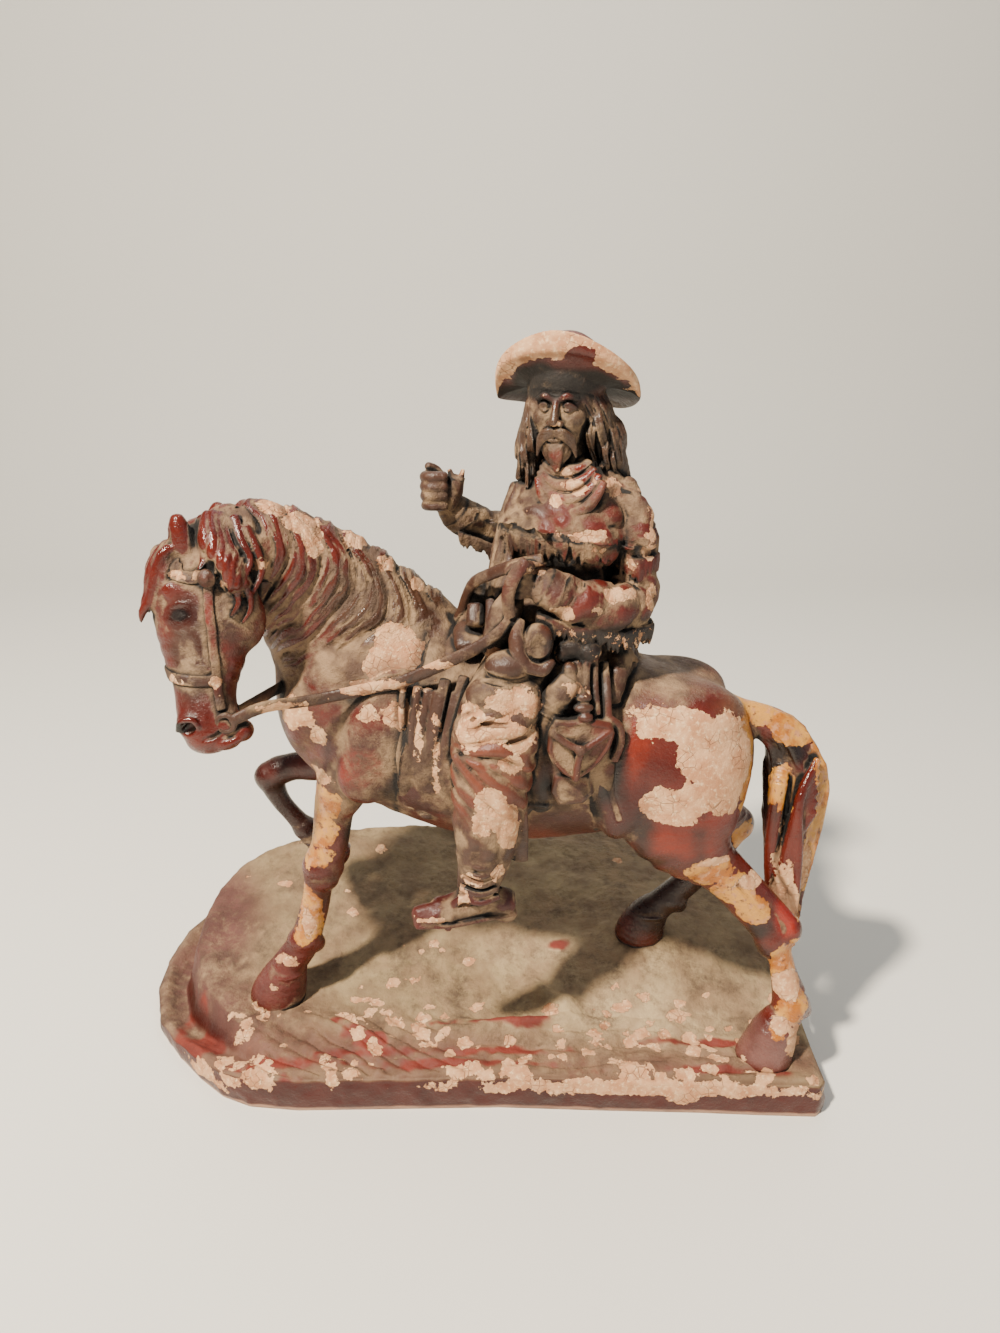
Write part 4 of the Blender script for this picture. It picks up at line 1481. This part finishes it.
def make_face(clay):
    clay.lump(on_head(0, 0, 4), (15, 17, 20), 1, -0.28)
    clay.limb(
        head_line([(0, 6, 14, 12, 10), (0, 7, 4, 13, 11), (0, 8, -5, 11, 10.5), (0, 9.5, -14, 6.5, 7)]),
        HEAD_SIDE, 3, (0.5, 0.8),
    )
    for s in (-1, 1):
        clay.lump(on_head(8.2 * s, 12, 1.5), (5, 5, 4), 2.5)
        clay.lump(on_head(6.2 * s, 20.5, 7.6), (4.4, 3.6, 3.2), 1.6, cut_out=True)
        clay.lump(on_head(6.0 * s, 15.0, 7.4), (3.2, 3.2, 3.0), 0.2)
        brow = [(2.0 * s, 18.2, 11, 1.6, 1.4), (6 * s, 18.6, 12.8, 1.7, 1.5), (11 * s, 14.5, 10.6, 1.1, 1)]
        clay.limb(head_line(brow), DOWN, 1.5)
        lid = [(2.8 * s, 16.6, 6.8, 0.7, 0.7), (6.2 * s, 18.2, 9.0, 0.9, 0.8), (9.8 * s, 15.2, 7.0, 0.7, 0.7)]
        clay.limb(head_line(lid), DOWN, 0.5)
        lid = [(2.8 * s, 16.6, 6.6, 0.5, 0.5), (6.2 * s, 17.8, 5.4, 0.7, 0.7), (9.6 * s, 15.2, 6.6, 0.5, 0.5)]
        clay.limb(head_line(lid), DOWN, 0.5)
        clay.lump(on_head(2.9 * s, 20.2, -0.6), (1.8, 2.2, 1.7), 0.9)
        clay.lump(on_head(1.5 * s, 21.8, -2.4), (0.9, 1.2, 0.8), 0.4, cut_out=True)
        # the moustache, in three locks a side
        for k in range(3):
            lock = [
                (0.8 * s, 21 - 0.5 * k, -3.8 - 1.1 * k, 1.5, 1.6),
                (4.6 * s, 20.4 - 0.6 * k, -4.6 - 1.5 * k, 1.7, 1.8),
                (8.4 * s, 17 - 0.4 * k, -8 - 1.9 * k, 1.5, 1.5),
                (10.2 * s, 14.8, -14.5 - 1.4 * k, 0.6, 0.6),
            ]
            clay.limb(head_line(lock), DOWN, 0.35, (0.6, 1))
        # whiskers below the mouth
        for k in range(3):
            lock = [
                ((3.5 + 2.4 * k) * s, 17.5 - 1.6 * k, -10.5 + k, 1.6, 1.6),
                ((2.6 + 1.8 * k) * s, 17 - 1.4 * k, -17 + 0.6 * k, 1.5, 1.5),
                ((1.4 + 1.2 * k) * s, 15.5, -22.5 + k, 0.6, 0.6),
            ]
            clay.limb(head_line(lock), HEAD_SIDE, 0.4, (0.6, 1))
    nose = [(0, 17.4, 11, 1.7, 1.8), (0, 19.6, 6, 1.8, 2.2), (0, 21.8, 1, 2.3, 2.4)]
    clay.limb(head_line(nose), HEAD_SIDE, 1.2, (0.5, 0.5))
    clay.lump(on_head(0, 22.2, 0.2), (2.4, 2.3, 2.1), 0.8)
    clay.lump(on_head(0, 18.6, -8.8), (3.8, 2.0, 1.4), 0.5)
    # the tuft on the chin
    for k in range(5):
        sway = 0.5 * math.sin(2.2 * k)
        lock = [
            (-2.8 + 1.4 * k, 18.4, -11, 1.3, 1.5),
            (-2.2 + 1.2 * k + sway, 19.2 - 0.3 * abs(k - 2), -17, 1.4, 1.6),
            (-0.4 + 0.5 * k, 17.6, -24 - 0.6 * (k % 2), 0.6, 0.7),
        ]
        clay.limb(head_line(lock), HEAD_SIDE, 0.35, (0.6, 1))


def lock_relief(along, angle, x, y, z):
    """The strands of one lock, which turn about it."""
    return 0.5 * np.cos(4 * angle + 0.3 * along) + 0.3 * lumps(x, y, z, 4, 47)


def make_hair(clay):
    for line in (
        [(-12.5, 2, 10, 5, 8), (-16.5, 2, -4, 6, 8), (-18.5, -1.5, -20, 6, 7), (-24, -4, -32, 3, 3.5)],
        [(15, -5, 10, 5, 8), (19.5, -6, -4, 7, 8.5), (24, -11, -19, 7.5, 8.5), (29, -16, -31, 5, 5.5)],
        [(0, -14, 10, 13, 7), (0, -18, -8, 16, 9), (1, -22, -26, 18, 8), (2, -25, -38, 15, 5)],
    ):
        clay.limb(head_line(line), HEAD_SIDE, 2, (0.3, 0.6))
    # each lock: where it leaves the hat, where it ends, and how far out it waves
    ends = [
        (-11, 9.5, -14.5, 6, -28, 0), (-13.5, 7, -18, 4, -31, 1), (-15.5, 3, -23, 1, -33, 2),
        (-16, -1, -25, -4, -34, 3), (-14, -7, -21, -11, -35, 4), (-10, -12, -17, -19, -37, 5),
        (-5, -15, -10, -26, -40, 6), (0, -17, -3, -29, -42, 7), (5, -16, 5, -30, -42, 8),
        (9, -14, 13, -28, -40, 9), (13, -11, 21, -24, -38, 10), (12, 8.5, 17, 4, -22, 11),
        (14.5, 5.5, 22, 1, -26, 12), (16.5, 2, 27, -4, -28, 13), (18, -2, 31, -9, -30, 14),
        (18, -6, 33, -14, -32, 15), (16, -9, 29, -20, -35, 16), (15.5, 4, 24.5, -1.5, -30, 17),
        (17, 0, 29, -6, -33, 18), (-14.5, 5, -20, 2.5, -30, 19),
    ]
    for r0, f0, r1, f1, bottom, i in ends:
        out = np.array([r1, f1]) / math.hypot(r1, f1)
        rows = []
        for s in range(9):
            t = s / 8
            wave = 4.0 * math.sin(t * 9.5 + 1.9 * i) * (0.25 + t)
            swell = 2.2 * math.sin(math.pi * min(t * 1.25, 1))
            r = r0 + (r1 - r0) * t**0.9 + out[0] * swell - out[1] * wave
            f = f0 + (f1 - f0) * t**0.9 + out[1] * swell + out[0] * wave
            thick = 2.5 * (1 - 0.1 * (i % 3)) * (1 - max(0, t - 0.62) * 1.7)
            rows.append((r, f, 12 + (bottom - 12) * t + 0.8 * wave, thick, thick * 1.15))
        clay.limb(head_line(rows), HEAD_SIDE, 0.3, (0.4, 1), lock_relief, 2)


def brim_level(angle, share):
    """The height of the brim above the hatband: rolled up in front, drooping behind."""
    front = np.maximum(0, np.sin(angle))
    back = np.maximum(0, -np.sin(angle))
    wavy = 0.9 * np.sin(3 * angle + 0.6) + 0.6 * np.sin(5 * angle + 2)
    droop = 8 * share * back
    return share * BRIM_RISE * front**0.8 - droop - 5 * share**2 * (1 - front) + share * wavy * (1 - front)


def brim_place(x, y):
    """Where a point is on the brim: its angle from the left, and 0 at the crown to 1 at the rim."""
    dx, dy = x - HAT_AT[0], y - HAT_AT[1]
    u = dx * HEAD_SIDE[0] + dy * HEAD_SIDE[1]
    v = dx * HEAD_SIDE[1] - dy * HEAD_SIDE[0]
    angle = np.arctan2(v, u)
    reach = 21 - 8 * np.maximum(0, np.sin(angle)) ** 2 - 2 * np.maximum(0, -np.sin(angle))
    return angle, reach, (np.sqrt(u * u + v * v) - CROWN_RADIUS) / reach


def make_hat(clay):
    clay.limb(
        [(51, -53, 411, 20, 22), (52, -51, 420, 20, 21), (52, -48, 425, 18, 18), (52, -46, 428.5, 12, 11)],
        HEAD_SIDE, 1, (0.1, 0.4),
    )
    cut, (x, y, z) = clay.window((8, -95, 400), (102, -18, 446))
    angle, reach, share = brim_place(x, y)
    front = np.maximum(0, np.sin(angle))
    inner = np.clip(share, 0, 1)
    level = HAT_AT[2] + brim_level(angle, inner)
    slope = np.sqrt(1 + (BRIM_RISE * front**0.8 / reach) ** 2)
    thick = 1.6 + 0.9 * smoothstep(0.75, 1, inner)
    across = np.abs(z - level) / slope - thick
    rim = (share - 1) * reach
    edge = 1.4
    rounded = np.sqrt(np.maximum(across + edge, 0) ** 2 + np.maximum(rim + edge, 0) ** 2) - edge
    sheet = np.where((across > -edge) & (rim > -edge), rounded, np.maximum(across, rim))
    sheet = np.maximum(sheet, -share * reach)
    clay.join(cut, sheet.astype(np.float32), 1.5)
    # the hatband
    clay.limb([(51.5, -53, 419.5, 21, 22.6), (51.8, -52.4, 423, 21, 22.4)], HEAD_SIDE, 0.5, (0.1, 0.1))


def make_kerchief(clay):
    facing = np.array([RIDER_SIDE[1], -RIDER_SIDE[0], 0])
    side = np.array([*RIDER_SIDE])
    for i in range(4):
        rows = []
        for s in range(9):
            turn = -1 + s / 4
            wide = (11 + 2.2 * i) * math.sin(turn * 1.35) + 6 + 1.7 * i
            drop = (8 + 7 * i) * math.cos(turn * 1.15)
            out = 10 + 9 * math.cos(turn * 1.35) + 1.7 * i + 5 * max(0, -turn)
            p = np.array([55, -52, 383 - drop]) + side * wide + facing * out
            rows.append((*p, 3.9 - 2.0 * abs(turn) ** 1.5, 3.2))
        clay.limb(rows, DOWN, 0.3, spans=2)


def make_rider_head():
    clay = Clay((8, -96, 344), (102, -16, 446), 0.55)
    clay.limb([(56, -50, 364, 11, 11), (53, -54, 392, 9, 10)], HEAD_SIDE, 0)
    make_face(clay)
    make_hair(clay)
    make_hat(clay)
    make_kerchief(clay)
    return clay


head_clay = make_rider_head()
rider_head = make_object("rider_head", *head_clay.skin())
finish_piece(rider_head)

BARE += [
    (82, -68, 415, 3, 5, 2), (86, -66, 416, 1.6, 4, 2), (52, -26, 416, 16, 6, 4), (44, -78, 399, 2.6, 3, 2.4),
    (50, -80, 376, 4, 6, 2.4), (56, -82, 368, 8, 6, 3.4), (44, -80, 362, 5, 6, 3.2), (64, -84, 372, 3, 5, 3),
]


def head_scheme(points, normals, fine, wide, bend):
    x, y, z = points.T
    colour = flat_colour(len(points), "#4a3527")
    colour = shades(points, colour, (
        ([(52, -78, 364, 24, 16, 16)], "#6a2416", 2),
        ([(46, -79, 384, 4, 6, 4)], "#6a1d12", 2),
    ))
    angle, reach, share = brim_place(x, y)
    from_crown = share * reach
    hat = smoothstep(405, 412, z) * smoothstep(2.5, 4.5, from_crown)
    hat = np.maximum(hat, smoothstep(419, 421, z))
    colour = mix(colour, "#571d13", hat)
    # the underside is dark, up to a red band along the front of the brim
    front = np.maximum(0, np.sin(angle))
    level = HAT_AT[2] + brim_level(angle, np.clip(share, 0, 1))
    inner = smoothstep(0.72, 0.5, share + 0.1 * lumps(x, y, z, 10, 45))
    under = hat * smoothstep(0.8, -0.4, z - level) * np.maximum(inner, smoothstep(0.3, 0.05, front))
    # bare plaster all along the rolled-up rim
    to_rim = (1 - share) * np.hypot(reach, BRIM_RISE * front)
    worn = 7.5 * smoothstep(-0.25, 0.3, np.sin(angle)) - to_rim + 2.4 * lumps(x, y, z, 11, 46)
    worn = worn - 3 * smoothstep(0.5, -0.5, z - level) * (front < 0.3)
    # where the paint has held, over the brow
    held = smoothstep(-2, 2, field_of([(58, -80, 434, 9, 9, 5)], points))
    worn = np.where(hat > 0.5, worn - 9 * held, NOWHERE)
    colour = mix(colour, "#1a1510", under)
    ridges = smoothstep(0.01, 0.2, bend)
    grooves = smoothstep(-0.01, -0.2, bend)
    dust = 0.5 + 0.15 * grooves + 0.3 * fine + 0.25 * wide + 0.45 * lumps(x, y, z, 7, 43) - 0.2 * ridges
    dust = dust * (1 - 0.65 * hat)
    gloss = (0.45 + 0.35 * ridges) * (1 - 0.8 * under)
    chips = 0.2 + 0.35 * ridges - 0.2 * under
    return colour, dust, gloss, chips, worn


# The paint
# One coat of oil paint covers the whole cast, and much of it has worn, flaked or gathered dust. The
# fields of each piece go to its vertices, and one shader frays their edges and lays the coats.

BEND_STEP = 3.4


def clearance(points, blocks, on_ground):
    """How far points are from the nearest skin of the figure, or from the ground they stand on."""
    best = np.full(len(points), FAR, np.float32)
    if on_ground:
        best = np.minimum(best, points[:, 2] - ground_height(points[:, 0], points[:, 1]))
    for block in blocks:
        best = np.minimum(best, block.depth(points))
    return best


def paint_piece(piece, blocks, scheme, on_ground=True):
    """Writes a scheme's colours and fields to the vertices of a piece."""
    mesh = piece.data
    count = len(mesh.vertices)

    def read(kind):
        values = np.empty(count * 3, np.float32)
        mesh.vertices.foreach_get(kind, values)
        return values.reshape(-1, 3).astype(float)

    def closed_in(reaches):
        """From 0 in the open to 1 where other skin is right in front."""
        total = np.zeros(count)
        for r in reaches:
            total += np.clip(1 - clearance(points + normals * r, blocks, on_ground) / r, 0, 1) / len(reaches)
        return total

    points, normals = read("co") / MM, read("normal")
    fine, wide = closed_in((1.4, 2.6)), closed_in((4.5, 7.5, 11))
    bend = np.zeros(count)
    if on_ground:
        for step in np.eye(3) * BEND_STEP:
            bend += clearance(points + step, blocks, False) + clearance(points - step, blocks, False)
    bend = bend / (6 * BEND_STEP)
    colour, dust, gloss, chips, worn = scheme(points, normals, fine, wide, bend)
    layer = mesh.attributes.new("tint", "FLOAT_COLOR", "POINT")
    rgba = np.column_stack([np.clip(colour, 0, 1), np.ones(count)])
    layer.data.foreach_set("color", rgba.astype(np.float32).ravel())
    hollow = np.clip(0.6 * fine + 0.8 * wide, 0, 1) * (1 if on_ground else 0.3)
    fields = {
        "bare": np.maximum(field_of(BARE, points), worn), "ochre": field_of(OCHRE, points), "hollow": hollow,
    }
    fields |= {"dust": np.clip(dust, 0, 1), "gloss": np.clip(gloss, 0, 1), "chips": np.clip(chips, 0, 1)}
    for name, values in fields.items():
        layer = mesh.attributes.new(name, "FLOAT", "POINT")
        layer.data.foreach_set("value", np.asarray(values, np.float32))


def add_node(tree, kind, settings=None, **links):
    """One shader node, with its settings, and each input set to a value or linked to a socket."""
    node = tree.nodes.new(kind)
    for key, value in (settings or {}).items():
        setattr(node, key, value)
    for key, value in links.items():
        socket = node.inputs[int(key[1:])] if key[0] == "i" and key[1:].isdigit() else node.inputs[key]
        if isinstance(value, bpy.types.NodeSocket):
            tree.links.new(value, socket)
        else:
            socket.default_value = value
    return node


def paint_material(material):
    tree = material.node_tree
    shader = tree.nodes["Principled BSDF"]

    def field(name, out="Fac"):
        return add_node(tree, "ShaderNodeAttribute", {"attribute_name": name}).outputs[out]

    def maths(kind, a, b, clamp=False):
        return add_node(
            tree, "ShaderNodeMath", {"operation": kind, "use_clamp": clamp}, i0=a, i1=b,
        ).outputs[0]

    def plus(a, b):
        return maths("ADD", a, b)

    def minus(a, b):
        return maths("SUBTRACT", a, b)

    def times(a, b):
        return maths("MULTIPLY", a, b)

    def sway(value, reach):
        """A share of 0 to 1 as an amount to either side of 0."""
        return times(minus(value, 0.5), reach)

    def noise(size, detail=3.0, rough=0.55):
        scale = 1 / (size * MM)
        node = add_node(
            tree, "ShaderNodeTexNoise", None, Vector=place, Scale=scale, Detail=detail, Roughness=rough,
        )
        return node.outputs["Fac"]

    def band(value, low, high):
        node = add_node(
            tree, "ShaderNodeMapRange", {"interpolation_type": "SMOOTHSTEP"}, i0=value, i1=low, i2=high,
        )
        return node.outputs[0]

    def blend(share, a, b, kind="MIX"):
        node = add_node(
            tree, "ShaderNodeMix", {"data_type": "RGBA", "blend_type": kind, "clamp_factor": True},
        )
        for socket, value in zip((node.inputs[0], node.inputs[6], node.inputs[7]), (share, a, b)):
            if isinstance(value, bpy.types.NodeSocket):
                tree.links.new(value, socket)
            else:
                socket.default_value = value
        return node.outputs[2]

    place = tree.nodes.new("ShaderNodeTexCoord").outputs["Object"]
    large, middle, small = noise(13, 2), noise(3.2, 3, 0.6), noise(0.9, 2)
    fray = plus(sway(large, 9.0), sway(middle, 5.0))
    bare = band(plus(field("bare"), fray), -0.15, 0.15)
    ochre = band(plus(field("ochre"), fray), -0.2, 0.2)
    chance = times(field("chips"), 0.26)
    spots = minus(plus(chance, times(noise(4.2, 4, 0.7), 0.62)), 0.575)
    chips = band(plus(spots, sway(small, 0.12)), 0.0, 0.02)
    bare = maths("MAXIMUM", bare, chips)

    # the coats of paint
    tint = field("tint", "Color")
    tone = blend(band(noise(22, 3), 0.35, 0.7), tint, blend(1.0, tint, (0.62, 0.55, 0.55, 1), "MULTIPLY"))
    lit = blend(1.0, tone, (1.5, 1.5, 1.45, 1), "MULTIPLY")
    tone = blend(times(band(middle, 0.55, 0.75), 0.4), tone, lit)
    gold = blend(band(noise(13, 3), 0.4, 0.6), linear("#a35f17"), linear("#c48d40"))
    gold = blend(band(noise(6, 4, 0.7), 0.52, 0.62), gold, linear("#b9835a"))
    gold = blend(times(band(noise(4, 4, 0.7), 0.58, 0.66), 0.8), gold, linear("#4d2417"))
    coat = blend(ochre, tone, gold)
    film = plus(field("dust"), sway(noise(5, 5, 0.75), 1.1))
    film = band(film, 0.26, 0.8)
    film = times(film, minus(0.88, times(ochre, 0.7)))
    dirt = blend(band(noise(14, 3), 0.35, 0.65), linear("#4f3d2f"), linear("#93795b"))
    coat = blend(film, coat, dirt)
    hollow = field("hollow")
    coat = blend(band(hollow, 0.3, 0.8), coat, linear("#0f0a07"))

    # plaster, with hair cracks
    plaster = blend(band(noise(9, 4), 0.35, 0.65), linear("#cfa27a"), linear("#b5815c"))
    plaster = blend(band(noise(2.6, 4, 0.7), 0.5, 0.7), plaster, linear("#e0c096"))
    crack = add_node(
        tree, "ShaderNodeTexVoronoi", {"feature": "DISTANCE_TO_EDGE"}, Vector=place, Scale=1 / (5.5 * MM),
    )
    lines = times(band(crack.outputs[0], 0.05, 0.0), band(noise(16, 2), 0.48, 0.6))
    plaster = blend(times(lines, 0.6), plaster, linear("#77503a"))
    plaster = blend(times(band(hollow, 0.1, 0.7), 0.75), plaster, linear("#4d3628"))
    rim = times(bare, minus(1.0, bare))
    coat = blend(times(rim, 2.5), coat, linear("#1a0b07"))
    surface = blend(bare, coat, plaster)
    tree.links.new(surface, shader.inputs["Base Color"])

    shine = maths("SUBTRACT", field("gloss"), times(film, 0.5), clamp=True)
    shine = maths("MAXIMUM", shine, times(ochre, 0.55))
    rough = minus(0.78, times(shine, 0.62))
    rough = plus(rough, sway(middle, 0.25))
    rough = maths("MAXIMUM", rough, times(bare, 0.88))
    tree.links.new(rough, shader.inputs["Roughness"])

    height = times(bare, -0.45)
    height = plus(height, times(ochre, 0.12))
    grain = times(noise(2.2, 4, 0.65), plus(0.35, times(film, 0.75)))
    height = plus(height, times(small, plus(0.12, times(film, 0.3))))
    height = plus(plus(height, grain), times(middle, 0.35))
    height = minus(height, times(times(lines, bare), 0.3))
    bump = add_node(tree, "ShaderNodeBump", None, Strength=0.85, Distance=1.3 * MM, Height=height)
    tree.links.new(bump.outputs[0], shader.inputs["Normal"])
    shader.inputs["Specular IOR Level"].default_value = 0.5


blocks = [horse_clay, saddlery_clay, body_clay, head_clay]
for piece, scheme in (
    (rocky_base, base_scheme), (horse, horse_scheme), (saddlery, cloth_scheme),
    (rider_body, cloth_scheme), (rider_head, head_scheme),
):
    paint_piece(piece, blocks, scheme, piece is not rocky_base)
paint_material(bpy.data.materials["painted_pottery"])
